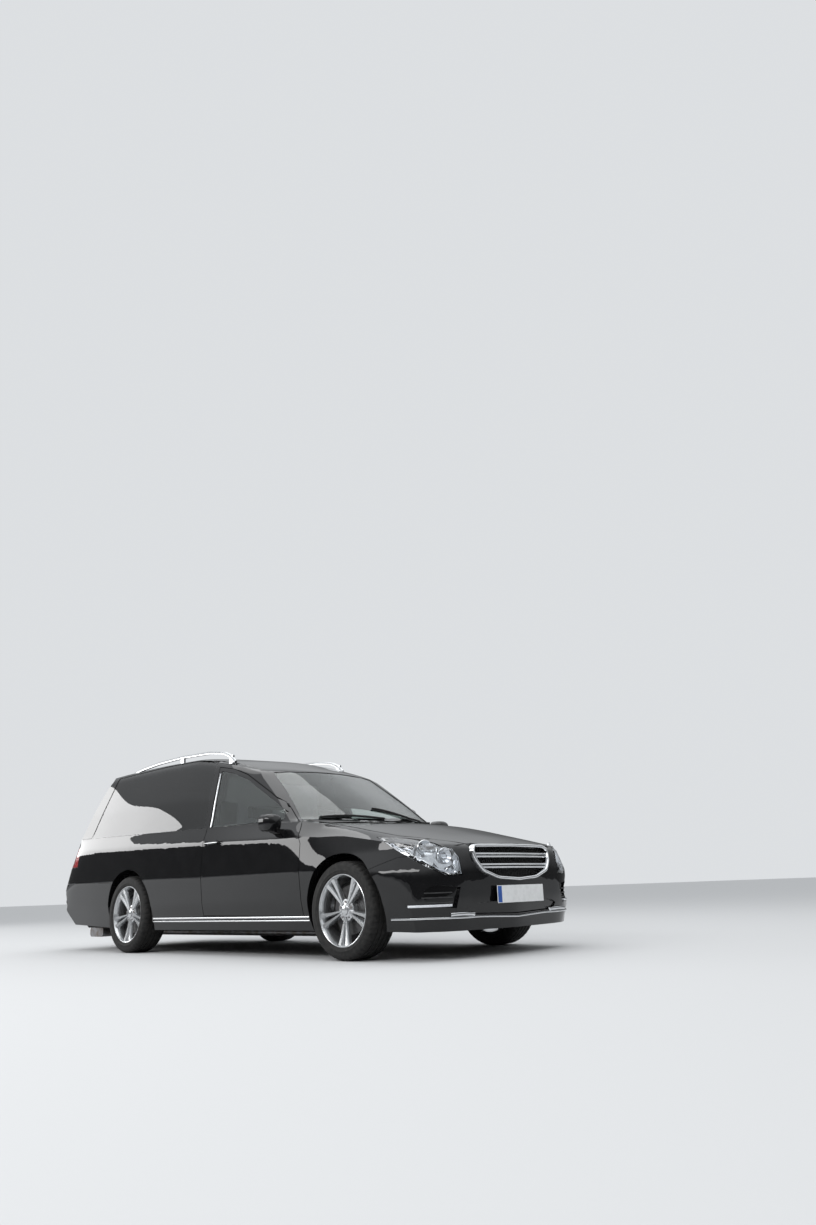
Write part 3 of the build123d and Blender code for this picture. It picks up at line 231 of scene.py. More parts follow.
underseal = surface("underseal", UNDERSEAL, 14.0, (0.65, 0.95), 0.5, 0.002)
iron = surface("cast_iron", CAST_IRON, 22.0, (0.5, 0.8), 0.4, 0.0015, 0.35)
steel = surface("bare_steel", BARE_STEEL, 18.0, (0.3, 0.55), 0.2, 0.001, 0.9)
moulded = surface("moulded_black", MOULDED_BLACK, 30.0, (0.42, 0.65), 0.25, 0.0008)
coat_nodes(["floor_pan", "front_structure"], underseal)
coat_nodes(["engine", "front_subframe", "rear_axle", "knuckle_left", "knuckle_right"], iron)
coat_nodes(["exhaust", "deck_runners"], steel)
coat_nodes(["wheel_houses"], moulded)

# Outer skin: pressed steel body sides, roof, doors, wings, bonnet and tailgate with moulded bumper covers, in
# gloss black lacquer, and the glass set a few millimetres below. The CAD panels are built from straight
# walls: here each is cut finer and its outer face is eased over the joints between those walls.
PAINT = ((0.0035, 0.0035, 0.004), (0.0055, 0.0055, 0.006))
CABIN_TRIM = ((0.025, 0.024, 0.023), (0.04, 0.038, 0.036))
EDGE_LIMIT = 0.045
GLASS_DEPTH = 0.004
CUT_ROUNDS = 8
SEEN_FROM, OFF_FACE, RAY_LENGTH = 4.0, 0.002, 8.0
NUDGES = (0.0, 0.001, -0.001, 0.003, -0.003, 0.008, -0.008)
JOIN_GAP = 1e-5
COAT_ROUGHNESS = 0.02
LEAST_AREA = 1e-8
REACH = 1.1
# How far the easing spreads, in metres. X: where a face looks sideways, where it looks forward. Y: least,
# more where it looks up, more where it looks forward. Z: least, more where it looks forward.
SPREAD_X, SPREAD_Y, SPREAD_Z = (0.12, 0.05), (0.03, 0.07, 0.03), (0.014, 0.02)
SPREAD_MAX = np.array([0.12, 0.1, 0.035])
SHIFT_MAX = 0.02
SAME_FACE, SAME_SHADE, INNER_FACE = 0.8, 0.87, -0.6
FADE_DEPTH = 0.09
PANELS = [
    "body_side_left", "body_side_right", "roof", "door_left", "door_right", "bonnet", "wing_left",
    "wing_right", "front_bumper", "rear_bumper", "tailgate", "tail_lamps", "headlamps", "scuttle",
]
PANES = ["windscreen", "side_glass", "door_glass_left", "door_glass_right", "tailgate_glass"]
BLOCKERS = ["floor_pan", "wheel_houses", "partition", "front_structure", "load_deck"]
HANDLE_OUT_Y = 0.9265
MIRROR_X, MIRROR_REACH, MIRROR_OUT_Y, MIRROR_LOW_Z = 0.987, 0.09, 0.899, 0.884
body_of_node = {
    node: body for body, members in frame["record"]["behaviour"]["bodies"].items() for node in members
}


def stands_off(name, centre):
    """True for the faces of a door's handle and mirror, which have pieces of their own."""
    if not name.startswith("door_") or "glass" in name:
        return False
    side_y = abs(centre.y)
    by_mirror = centre.z > MIRROR_LOW_Z and abs(centre.x - MIRROR_X) < MIRROR_REACH
    return side_y > HANDLE_OUT_Y or (by_mirror and side_y > MIRROR_OUT_Y)


def joined_mesh(name):
    """A CAD node's mesh with its split corners joined, without what stands off it."""
    bm = bmesh.new()
    bm.from_mesh(nodes[name].data)
    bmesh.ops.remove_doubles(bm, verts=bm.verts, dist=JOIN_GAP)
    off = [face for face in bm.faces if stands_off(name, face.calc_center_median())]
    bmesh.ops.delete(bm, geom=off, context="FACES")
    bm.normal_update()
    return bm


def tree_of(meshes):
    """A search tree over several meshes at once."""
    corners, faces = [], []
    for bm in meshes:
        start = len(corners)
        bm.verts.index_update()
        corners += [vert.co.copy() for vert in bm.verts]
        faces += [[start + vert.index for vert in face.verts] for face in bm.faces]
    return BVHTree.FromPolygons(corners, faces)


skin = {name: joined_mesh(name) for name in PANELS + PANES}
blockers = tree_of(list(skin.values()) + [joined_mesh(name) for name in BLOCKERS])
OUTER = 1
for name, bm in skin.items():
    for face in bm.faces:
        start = face.calc_center_median() + face.normal * OFF_FACE
        face.material_index = OUTER if blockers.ray_cast(start, face.normal, SEEN_FROM)[0] is None else 0
    for _ in range(CUT_ROUNDS):
        long_edges = [
            edge for edge in bm.edges
            if edge.calc_length() > EDGE_LIMIT
            and (name in PANES or any(face.material_index == OUTER for face in edge.link_faces))
        ]
        if not long_edges:
            break
        bmesh.ops.subdivide_edges(bm, edges=long_edges, cuts=1)
        bmesh.ops.triangulate(bm, faces=[face for face in bm.faces if len(face.verts) > 3])
    bm.normal_update()
    bm.verts.index_update()
    bm.faces.index_update()

outer_faces, centres, facings, areas = [], [], [], []
for name, bm in skin.items():
    set_in = GLASS_DEPTH if name in PANES else 0.0
    for face in bm.faces:
        if face.material_index == OUTER and face.calc_area() > LEAST_AREA and face.normal.length > 0.5:
            outer_faces.append((name, face.index))
            centres.append(face.calc_center_median() + face.normal * set_in)
            facings.append(face.normal.copy())
            areas.append(face.calc_area())
centres, facings, areas = np.array(centres), np.array(facings), np.array(areas)
search = KDTree(len(centres))
scaled = centres / (2 * SPREAD_MAX)
for index, point in enumerate(scaled):
    search.insert(point, index)
search.balance()
eased = {name: {} for name in skin}
for index, (name, face_index) in enumerate(outer_faces):
    near = np.array([found[1] for found in search.find_range(scaled[index], REACH)])
    ahead, _, up = np.abs(facings[index])
    spread = np.array([
        SPREAD_X[0] * (1 - ahead) + SPREAD_X[1] * ahead,
        SPREAD_Y[0] + SPREAD_Y[1] * up ** 2 + SPREAD_Y[2] * ahead,
        SPREAD_Z[0] + SPREAD_Z[1] * ahead,
    ])
    gap = centres[near] - centres[index]
    weight = areas[near] * np.exp(-0.5 * ((gap / spread) ** 2).sum(1))
    weight = weight * (facings[near] @ facings[index] > SAME_FACE)
    normal = weight @ facings[near]
    normal /= np.linalg.norm(normal)
    shift = float(weight @ (gap @ normal) / weight.sum())
    eased[name][face_index] = (Vector(normal), max(-SHIFT_MAX, min(SHIFT_MAX, shift)))

paint = surface("body_paint", PAINT, 9.0, (0.3, 0.4), 0.03, 0.0002, 0.0, 1.0)
paint_shader = paint.node_tree.nodes["Principled BSDF"]
paint_shader.inputs["Specular IOR Level"].default_value = 0.0
paint_shader.inputs["Coat Roughness"].default_value = COAT_ROUGHNESS
cabin_trim = surface("cabin_trim", CABIN_TRIM, 40.0, (0.5, 0.75), 0.3, 0.0008)

skin_normals = {}
for name, bm in skin.items():
    bm.verts.ensure_lookup_table()
    faces = eased[name]
    moves, outward = {}, {}
    for vert in bm.verts:
        around = [faces[face.index] for face in vert.link_faces if face.index in faces]
        if around:
            moves[vert.index] = sum((normal * shift for normal, shift in around), Vector()) / len(around)
            outward[vert.index] = sum((normal for normal, _ in around), Vector()).normalized()
    outer_points = KDTree(len(moves))
    for vert_index in moves:
        outer_points.insert(bm.verts[vert_index].co, vert_index)
    outer_points.balance()
    inner_moves = {}
    for vert in bm.verts:
        if vert.index not in moves:
            _, found, distance = outer_points.find(vert.co)
            outward[vert.index] = outward[found]
            inner_moves[vert.index] = moves[found] * max(0.0, 1.0 - distance / FADE_DEPTH)
    for vert in bm.verts:
        vert.co += moves.get(vert.index) or inner_moves.get(vert.index) or Vector()
    bm.normal_update()
    skin_normals[name] = outward
skin_tree = tree_of([skin[name] for name in PANELS])
glass_tree = tree_of([skin[name] for name in PANES])


def on_skin(start, direction, tree=skin_tree):
    """Where a line from start first meets the dressed body, and the outward direction there."""
    for nudge in NUDGES:
        begin = Vector(start) + Vector((nudge, nudge, nudge))
        point, normal, _, _ = tree.ray_cast(begin, Vector(direction), RAY_LENGTH)
        if point:
            return point, normal
    raise ValueError(f"nothing is met from {start} towards {direction}")


def new_piece(name, mesh, body="body"):
    """An object for a mesh, riding on a CAD body."""
    piece = add_object(name, mesh)
    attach(piece, body)
    return piece


def dressed(name, materials, inner_smooth=False):
    """The eased copy of a CAD node, as a piece that stands for it. materials: outside, cut edges, inside."""
    bm, faces, outward = skin[name], eased[name], skin_normals[name]
    loops = []
    for face in bm.faces:
        own = faces.get(face.index)
        inward = face.normal.dot(outward[face.verts[0].index]) < INNER_FACE
        face.material_index = 0 if own else 2 if inward else 1
        for vert in face.verts:
            if own:
                alike = [
                    faces[other.index][0] for other in vert.link_faces
                    if other.index in faces and faces[other.index][0].dot(own[0]) > SAME_SHADE
                ]
                loops.append(sum(alike, Vector()).normalized())
            elif inner_smooth and inward:
                loops.append(-outward[vert.index])
            else:
                loops.append(face.normal.copy())
    mesh = bpy.data.meshes.new("skin_" + name)
    bm.to_mesh(mesh)
    for material in materials:
        mesh.materials.append(material)
    mesh.shade_smooth()
    mesh.normals_split_custom_set([tuple(normal) for normal in loops])
    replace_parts(new_piece("skin_" + name, mesh, body_of_node[name]), name)


for name in ["body_side_left", "body_side_right", "roof", "tailgate", "door_left", "door_right"]:
    dressed(name, [paint, paint, cabin_trim])
for name in ["wing_left", "wing_right", "bonnet"]:
    dressed(name, [paint, paint, moulded])
for name in ["front_bumper", "rear_bumper"]:
    dressed(name, [paint, moulded, moulded])
dressed("scuttle", [moulded, moulded, moulded])
coat_nodes(["partition"], cabin_trim)

# Glass: laminated windscreen and toughened panes bonded to the body, with dark privacy glass round the
# load bay.
CLEAR_TINT = ((0.62, 0.68, 0.66), (0.6, 0.66, 0.64))
PRIVACY_TINT = ((0.035, 0.037, 0.04), (0.03, 0.032, 0.035))
clear_glass = surface("clear_glass", CLEAR_TINT, 3.0, (0.0, 0.02), 0.01, 0.0001, clear=1.0)
dark_glass = surface("dark_glass", PRIVACY_TINT, 3.0, (0.0, 0.02), 0.01, 0.0001, clear=1.0)
for name in ["windscreen", "door_glass_left", "door_glass_right"]:
    dressed(name, [clear_glass] * 3, inner_smooth=True)
for name in ["side_glass", "tailgate_glass"]:
    dressed(name, [dark_glass] * 3, inner_smooth=True)

# Radiator grille: a plated shield frame with two pairs of bars across it, clipped into the bumper cover in
# front of a black moulded mesh.
GRILLE_LINE = [
    (0.0, 0.728), (0.4, 0.724), (0.436, 0.7), (0.424, 0.62), (0.366, 0.55), (0.22, 0.502), (0.0, 0.488),
]
GRILLE_MID_Z = 0.61
FRAME_WIDE = 0.022
BAR_LINES = [0.665, 0.645, 0.593, 0.573]
BAR_HALF = 0.0065
MESH_BACK = 0.05
CHROME = ((0.72, 0.73, 0.74), (0.66, 0.67, 0.69))
BAR_BACK, FRAME_BACK = 0.026, 0.006
INSET_ACROSS, INSET_UP = 0.977, 0.045
SLATS_EACH_SIDE, SLAT_PITCH, SLAT_GAP, SLAT_LEAST = 19, 0.021, 0.02, 0.03
SLAT_SECTION = [(-0.002, 0), (0.002, 0), (0.002, 0.012), (-0.002, 0.012)]
NOSE_ROWS = [(0.33, 2.574, 0.11), (0.56, 2.578, 0.115), (0.7, 2.548, 0.11), (1.15, 2.162, 0.11)]
NOSE_BEND_Y, NOSE_BEND_SHARE = 0.434, 0.25
chrome = surface("chrome", CHROME, 12.0, (0.05, 0.1), 0.02, 0.0002, 1.0)
mesh_black = surface("mesh_black", MOULDED_BLACK, 240.0, (0.5, 0.7), 1.0, 0.003)


def nose_x(y, z):
    """How far forward the nose's skin lies at a place across and up it."""
    for (low, low_tip, low_bow), (high, high_tip, high_bow) in zip(NOSE_ROWS, NOSE_ROWS[1:]):
        if z <= high:
            break
    share = (z - low) / (high - low)
    tip = low_tip + (high_tip - low_tip) * share
    bow = low_bow + (high_bow - low_bow) * share
    across = abs(y) / NOSE_BEND_Y
    if across < 1:
        return tip - bow * NOSE_BEND_SHARE * across
    return tip - bow * (NOSE_BEND_SHARE + (1 - NOSE_BEND_SHARE) * (across - 1))


def sweep(points, outs, section, closed=False):
    """A mesh swept along points; outs are the outward directions; section is a list of (across, out)."""
    verts, faces = [], []
    count, size = len(points), len(section)
    for index, (point, out) in enumerate(zip(points, outs)):
        after = points[(index + 1) % count] if closed or index < count - 1 else point
        before = points[index - 1] if closed or index > 0 else point
        along = (Vector(after) - Vector(before)).normalized()
        side = along.cross(Vector(out)).normalized()
        lift = side.cross(along)
        verts += [Vector(point) + side * across + lift * height for across, height in section]
    spans = count if closed else count - 1
    for index in range(spans):
        start, end = index * size, (index + 1) % count * size
        for corner in range(size):
            other = (corner + 1) % size
            faces.append((start + corner, start + other, end + other, end + corner))
    if not closed:
        faces += [tuple(reversed(range(size))), tuple(range((count - 1) * size, count * size))]
    return mesh_of("sweep", verts, faces)


def finished(mesh, name, material, angle=40):
    """Name a mesh, point its faces outward, give it its material and smooth it below an angle."""
    bm = bmesh.new()
    bm.from_mesh(mesh)
    bmesh.ops.recalc_face_normals(bm, faces=bm.faces)
    bm.to_mesh(mesh)
    bm.free()
    mesh.name = name
    mesh.materials.append(material)
    mesh.shade_smooth()
    mesh.set_sharp_from_angle(angle=math.radians(angle))
    return mesh


def merged(meshes, name, material, angle=40):
    """Several meshes as one."""
    bm = bmesh.new()
    for mesh in meshes:
        bm.from_mesh(mesh)
    whole = bpy.data.meshes.new(name)
    bm.to_mesh(whole)
    bm.free()
    return finished(whole, name, material, angle)


def add_piece(name, meshes, material, body="body", angle=40):
    """Several meshes as one piece that rides on a CAD body."""
    return new_piece(name, merged(meshes, name, material, angle), body)


def rounded(half_wide, high, low=0.0, soft=0.35):
    """A section with eased upper corners, half_wide to each side and from low to high."""
    cut = soft * min(half_wide, high - low)
    return [
        (-half_wide, low), (half_wide, low), (half_wide, high - cut),
        (half_wide - 0.4 * cut, high - 0.3 * cut), (half_wide - cut, high), (cut - half_wide, high),
        (0.4 * cut - half_wide, high - 0.3 * cut), (-half_wide, high - cut),
    ]


def resampled(points, step):
    """Points spread evenly along a broken line of two or three numbers each, eased at its corners."""
    line = [np.array(point, float) for point in points]
    dense = []
    for first, second in zip(line, line[1:]):
        parts = max(1, int(np.linalg.norm(second - first) / step))
        dense += [first + (second - first) * part / parts for part in range(parts)]
    dense.append(line[-1])
    for _ in range(3):
        dense = [dense[0]] + [
            (before + 2 * here + after) / 4 for before, here, after in zip(dense, dense[1:], dense[2:])
        ] + [dense[-1]]
    return dense


half_ring = resampled(GRILLE_LINE, 0.012)
ring = [tuple(point) for point in half_ring] + [(-y, z) for y, z in reversed(half_ring[1:-1])]
inset_ring = [(y * INSET_ACROSS, z + (GRILLE_MID_Z - z) * INSET_UP) for y, z in ring]
frame_mesh = sweep(
    [(nose_x(y, z) - FRAME_BACK, y, z) for y, z in inset_ring], [(1, 0, 0)] * len(ring),
    rounded(FRAME_WIDE / 2, 0.014, -0.03, 0.7), closed=True,
)
grille_meshes = [frame_mesh]
for bar_z in BAR_LINES:
    reach = max(abs(y) for y, z in ring if abs(z - bar_z) < 0.02) - FRAME_WIDE
    stations = [reach * step / 16 for step in range(-16, 17)]
    grille_meshes.append(sweep(
        [(nose_x(y, bar_z) - BAR_BACK, y, bar_z) for y in stations], [(1, 0, 0)] * len(stations),
        rounded(BAR_HALF, 0.018, 0.0, 0.8),
    ))
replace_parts(add_piece("grille_chrome", grille_meshes, chrome), "grille")
back_verts = [(nose_x(y, z) - MESH_BACK, y * 0.99, z) for y, z in ring]
back_verts.append((nose_x(0, GRILLE_MID_Z) - MESH_BACK, 0, GRILLE_MID_Z))
back_faces = [(step, (step + 1) % len(ring), len(ring)) for step in range(len(ring))]
slat_meshes = [finished(mesh_of("grille_mesh", back_verts, back_faces), "grille_mesh", mesh_black)]
for slat in range(-SLATS_EACH_SIDE, SLATS_EACH_SIDE + 1):
    slat_y = slat * SLAT_PITCH
    heights = [z for y, z in ring if abs(y - slat_y) < 0.02]
    low_z, high_z = min(heights) + SLAT_GAP, max(heights) - SLAT_GAP
    if high_z - low_z > SLAT_LEAST:
        slat_points = [low_z + (high_z - low_z) * step / 4 for step in range(5)]
        slat_meshes.append(sweep(
            [(nose_x(slat_y, z) - MESH_BACK, slat_y, z) for z in slat_points], [(1, 0, 0)] * 5, SLAT_SECTION,
        ))
add_piece("grille_mesh", slat_meshes, mesh_black)

# Bumper trim: a plated strip across the lower bumper with a raised step each side, a light strip in each side
# intake, black vanes behind, and the blank number plate on its moulded holder.
NOSE_PIVOT_X, NOSE_FROM = 2.0, 1.6
LOWER_STRIP = [(80, 0.262), (62, 0.264), (50, 0.261), (44, 0.259), (37, 0.261), (0, 0.247)]
STEP_LINE = [(53, 0.281), (49, 0.285), (44, 0.283), (40, 0.277)]
LIGHT_TURNS = (70, 52)
UNDER_INTAKE_Z, OVER_INTAKE_Z = 0.305, 0.49
DAY_LIGHT_Z = 0.34
VANES = [0.36, 0.39, 0.42]
PLATE_Z = 0.397
PLATE_HALF = (0.26, 0.057)
PLATE_THICK, HOLDER_THICK, HOLDER_SHORT, BAND_WIDE = 0.004, 0.014, 0.012, 0.046
LIGHT_WHITE = ((0.75, 0.77, 0.8), (0.66, 0.68, 0.72))
PLATE_WHITE = ((0.78, 0.79, 0.79), (0.7, 0.71, 0.71))
PLATE_BLUE = ((0.02, 0.09, 0.36), (0.015, 0.07, 0.3))


def heading(turn):
    """The level direction turned by some degrees from straight ahead."""
    return Vector((math.cos(math.radians(turn)), math.sin(math.radians(turn)), 0))


def on_nose(turn, z):
    """The nose's skin at a height, seen from a heading."""
    return on_skin(Vector((NOSE_PIVOT_X, 0, z)) + heading(turn) * NOSE_FROM, -heading(turn))


def nose_strip(line, section, step=2.0):
    """A strip along the nose, from (turn, height) points."""
    places = resampled(line, step)
    return sweep([on_nose(turn, z)[0] for turn, z in places], [heading(turn) for turn, _ in places], section)


def intake_bar(side, z, section, back):
    """A bar in a side intake, set back from the skin below it."""
    share = (z - UNDER_INTAKE_Z) / (OVER_INTAKE_Z - UNDER_INTAKE_Z)
    points, outs = [], []
    for step in range(9):
        turn = side * (LIGHT_TURNS[0] + (LIGHT_TURNS[1] - LIGHT_TURNS[0]) * step / 8)
        below, above = on_nose(turn, UNDER_INTAKE_Z)[0], on_nose(turn, OVER_INTAKE_Z)[0]
        points.append(below.lerp(above, share) - heading(turn) * back)
        outs.append(heading(turn))
    return sweep(points, outs, section)


whole_strip = LOWER_STRIP + [(-turn, z) for turn, z in reversed(LOWER_STRIP[:-1])]
strips = [nose_strip(whole_strip, rounded(0.006, 0.007, -0.002))]
lights, vanes = [], []
for side in (1, -1):
    strips.append(nose_strip([(side * turn, z) for turn, z in STEP_LINE], rounded(0.011, 0.011, -0.004)))
    lights.append(intake_bar(side, DAY_LIGHT_Z, rounded(0.0075, 0.006, -0.012), -0.001))
    vanes += [intake_bar(side, vane_z, rounded(0.004, 0.012, -0.008), 0.02) for vane_z in VANES]
add_piece("bumper_chrome", strips, chrome)
led_white = surface("led_white", LIGHT_WHITE, 60.0, (0.12, 0.25), 0.2, 0.0005, 0.3)
add_piece("day_lights", lights, led_white)
add_piece("bumper_vanes", vanes, moulded)
plate_white = surface("plate_white", PLATE_WHITE, 25.0, (0.3, 0.45), 0.1, 0.0003)
plate_blue = surface("plate_blue", PLATE_BLUE, 25.0, (0.3, 0.45), 0.1, 0.0003)


def flat_box(low, high):
    """A mesh box with slightly cut edges."""
    bm = bmesh.new()
    bmesh.ops.create_cube(bm, size=1.0)
    for vert in bm.verts:
        vert.co = Vector([(a + b) / 2 + value * (b - a) for a, b, value in zip(low, high, vert.co)])
    least = min(b - a for a, b in zip(low, high))
    bmesh.ops.bevel(bm, geom=bm.edges, offset=least * 0.22, segments=2, affect="EDGES")
    mesh = bpy.data.meshes.new("box")
    bm.to_mesh(mesh)
    bm.free()
    return mesh


def box_at(middle, half):
    """A box from its middle and its half sizes."""
    return flat_box([a - b for a, b in zip(middle, half)], [a + b for a, b in zip(middle, half)])


def plate(name, x, z, facing, body):
    """A blank plate with its plain band, on a dark holder."""
    half_y, half_z = PLATE_HALF
    front = sorted((x, x + facing * PLATE_THICK))
    holder = sorted((x - facing * HOLDER_THICK, x - facing * 0.0005))
    band = sorted((x + facing * 0.0042, x + facing * 0.0052))
    edge_y = -facing * half_y
    low_y, high_y = sorted((edge_y + facing * 0.004, edge_y + facing * BAND_WIDE))
    for label, depth, (left, right), short, material, slot in [
        ("_holder", holder, (HOLDER_SHORT - half_y, half_y - HOLDER_SHORT), 0.006, moulded, "black_trim"),
        ("", front, (-half_y, half_y), 0.0, plate_white, None),
        ("_band", band, (low_y, high_y), 0.004, plate_blue, None),
    ]:
        box = flat_box((depth[0], left, z - half_z + short), (depth[1], right, z + half_z - short))
        add_piece(name + label, [box], material, body)


plate("front_plate", on_nose(0, PLATE_Z)[0].x + 0.009, PLATE_Z, 1, "body")

# Headlamps: a clear moulded lens over a silver bucket, with three round reflectors round glass lenses and a
# light guide along the lower edge, bolted in behind the bumper and wing.
LAMP_ORIGIN = (2.622, 0.9)
LAMP_UNITS = [(-0.05, 0.708, 0.05), (0.078, 0.655, 0.046), (0.115, 0.563, 0.028)]
LAMP_AXIS = (0.92, 0.38, 0.05)
UNIT_BACK = 0.03
GUIDE_LINE = [(0.15, 0.545), (0.08, 0.548), (-0.055, 0.608), (-0.23, 0.71), (-0.33, 0.782)]
GUIDE_BACK = 0.014
LENS_THICK, LENS_FACING = 0.003, -0.5
BUCKET_DEEP = 0.05
SKIRT_DEEP = 0.003
POKE_LIMIT = 0.012
LENS_TINT = ((0.93, 0.95, 0.97), (0.9, 0.92, 0.95))
SILVER = ((0.7, 0.71, 0.72), (0.6, 0.61, 0.62))
lens_glass = surface("lens_glass", LENS_TINT, 8.0, (0.0, 0.02), 0.01, 0.0001, clear=1.0)
silver = surface("reflector_silver", SILVER, 30.0, (0.12, 0.25), 0.1, 0.0005, 1.0)
painted_tree = tree_of([skin[name] for name in ("bonnet", "wing_left", "wing_right", "front_bumper")])


def pokes_out(point):
    """True for a point that stands a little above a painted panel."""
    below, normal, _, _ = painted_tree.ray_cast(point, Vector((0, 0, -1)), POKE_LIMIT)
    return below is not None and normal.z > 0.3


def skin_shell(name, inward, skirts):
    """The outer face of a dressed node, moved inward, with walls back to the skin where skirts is set."""
    bm, outward = skin[name], skin_normals[name]
    chosen = [face for face in bm.faces if face.index in eased[name] and face.normal.x > LENS_FACING]
    used = sorted({vert.index for face in chosen for vert in face.verts})
    order = {index: number for number, index in enumerate(used)}
    verts = [bm.verts[index].co - outward[index] * inward for index in used]
    faces = [tuple(order[vert.index] for vert in face.verts) for face in chosen]
    if skirts:
        start = len(verts)
        verts += [bm.verts[index].co - outward[index] * SKIRT_DEEP for index in used]
        picked = set(face.index for face in chosen)
        for face in chosen:
            for edge in face.edges:
                if sum(other.index in picked for other in edge.link_faces) == 1:
                    first, second = (order[vert.index] for vert in edge.verts)
                    faces.append((first, second, start + second, start + first))
        faces = [face for face in faces if not any(pokes_out(verts[corner]) for corner in face)]
    return mesh_of(name + "_shell", verts, faces)


def lathe(profile, steps, cut=None):
    """A mesh turned about the Y axis from (radius, y) points; cut may change a point at a step."""
    verts, faces = [], []
    for step in range(steps):
        turn = 2 * math.pi * step / steps
        for number, (radius, y) in enumerate(profile):
            if cut:
                radius = cut(step, number, radius, y)
            verts.append((radius * math.cos(turn), y, radius * math.sin(turn)))
    size = len(profile)
    for step in range(steps):
        start, end = step * size, (step + 1) % steps * size
        faces += [(start + n, start + n + 1, end + n + 1, end + n) for n in range(size - 1)]
    return mesh_of("lathe", verts, faces)


def placed(mesh, matrix):
    """A mesh moved to its place."""
    mesh.transform(matrix)
    return mesh


lens_mesh = skin_shell("headlamps", 0.0, False)
lens = new_piece("headlamp_lens", finished(lens_mesh, "headlamp_lens", lens_glass, 50))
lens_wall = lens.modifiers.new("wall", "SOLIDIFY")
lens_wall.thickness = LENS_THICK
lens_wall.offset = -1.0
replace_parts(lens, "headlamps")
add_piece("headlamp_bucket", [skin_shell("headlamps", BUCKET_DEEP, True)], silver, angle=35)
diagonal = 1 / math.sqrt(2)


def on_lamp(side, u, z):
    """The lens at a place along and up the lamp, seen from diagonally in front."""
    inward = Vector((-diagonal, -side * diagonal, 0))
    place = Vector((LAMP_ORIGIN[0] + u * diagonal, side * (LAMP_ORIGIN[1] - u * diagonal), z))
    return on_skin(place - inward * 0.5, inward)


bowls, balls, guides = [], [], []
for side in (1, -1):
    axis = Vector((LAMP_AXIS[0], side * LAMP_AXIS[1], LAMP_AXIS[2])).normalized()
    turn = Vector((0, 1, 0)).rotation_difference(axis).to_matrix().to_4x4()
    for u, z, radius in LAMP_UNITS:
        seat = Matrix.Translation(on_lamp(side, u, z)[0] - axis * UNIT_BACK) @ turn
        bowl = [(radius * math.sqrt(step / 8), 0.024 * step / 8 - 0.024) for step in range(1, 9)]
        bowl += [(radius + 0.002, 0.002), (radius + 0.005, 0.0), (radius + 0.005, -0.006)]
        bowls.append(placed(lathe(bowl, 40), seat))
        ball = [
            (radius * 0.52 * math.cos(angle), radius * 0.3 * math.sin(angle) - 0.016)
            for angle in map(math.radians, range(0, 90, 12))
        ]
        balls.append(placed(lathe(ball + [(0.0005, radius * 0.3 - 0.016)], 32), seat))
    hits = [on_lamp(side, u, z) for u, z in resampled(GUIDE_LINE, 0.02)]
    guides.append(sweep(
        [point - normal * GUIDE_BACK for point, normal in hits], [normal for _, normal in hits],
        rounded(0.005, 0.005, -0.004),
    ))
add_piece("headlamp_reflectors", bowls, chrome, angle=60)
add_piece("headlamp_lenses", balls, lens_glass, angle=60)
add_piece("headlamp_guides", guides, led_white)

# Side trim: twin plated strips clipped along each sill, a bright strip up the centre pillar, and the pull
# handles, which are pinned through the door skin.
DOOR_SIDES = ((1, "door_left"), (-1, "door_right"))
SILL_STRIPS = [(0.285, 0.0065), (0.261, 0.0045)]
SILL_FROM, SILL_TO = -0.765, 1.34
PILLAR_STRIP = [(0.036, 1.004), (0.006, 1.16), (-0.026, 1.32), (-0.056, 1.468)]
HANDLE_X, HANDLE_Z = 0.171, 0.868
HANDLE_HALF = 0.097
HANDLE_LIFT, HANDLE_SUNK, HANDLE_RISE = 0.026, 0.012, 0.004
ACCENT_HALF, ACCENT_OUT = 0.085, 0.0225


def on_side(side, x, z):
    """The body's skin at a place along and up its side."""
    return on_skin((x, side * 1.4, z), (0, -side, 0))


def side_strip(side, line, section, step=0.04):
    """A strip along the body's side through (x, z) points."""
    points = [on_side(side, x, z)[0] for x, z in resampled(line, step)]
    return sweep(points, [(0, side, 0)] * len(points), section)


sill_meshes = [
    side_strip(side, [(SILL_FROM, strip_z), (SILL_TO, strip_z)], rounded(half, 0.006, -0.002))
    for side in (1, -1) for strip_z, half in SILL_STRIPS
]
add_piece("sill_strips", sill_meshes, chrome)
for side, door in DOOR_SIDES:
    pillar_mesh = side_strip(side, PILLAR_STRIP, rounded(0.009, 0.0022, -0.001), 0.05)
    add_piece("pillar_strip_" + door, [pillar_mesh], chrome, door)
for side, door in DOOR_SIDES:
    skin_y = abs(on_side(side, HANDLE_X + 0.15, HANDLE_Z)[0].y)
    grip_points = []
    for share in np.linspace(-1, 1, 17):
        grip_y = skin_y + HANDLE_LIFT * (1 - abs(share) ** 6) - HANDLE_SUNK
        grip_points.append((HANDLE_X + share * HANDLE_HALF, side * grip_y, HANDLE_Z + HANDLE_RISE * share))
    grip = sweep(grip_points, [(0, side, 0)] * 17, rounded(0.0145, 0.009, -0.004, 0.9))
    add_piece("handle_" + door, [grip], paint, door, 60)
    accent_y = side * (skin_y + ACCENT_OUT)
    accent_points = [(HANDLE_X + share * ACCENT_HALF, accent_y, HANDLE_Z) for share in (-1, -0.4, 0.4, 1)]
    accent = sweep(accent_points, [(0, side, 0)] * 4, rounded(0.003, 0.0025, -0.002))
    add_piece("handle_strip_" + door, [accent], chrome, door)

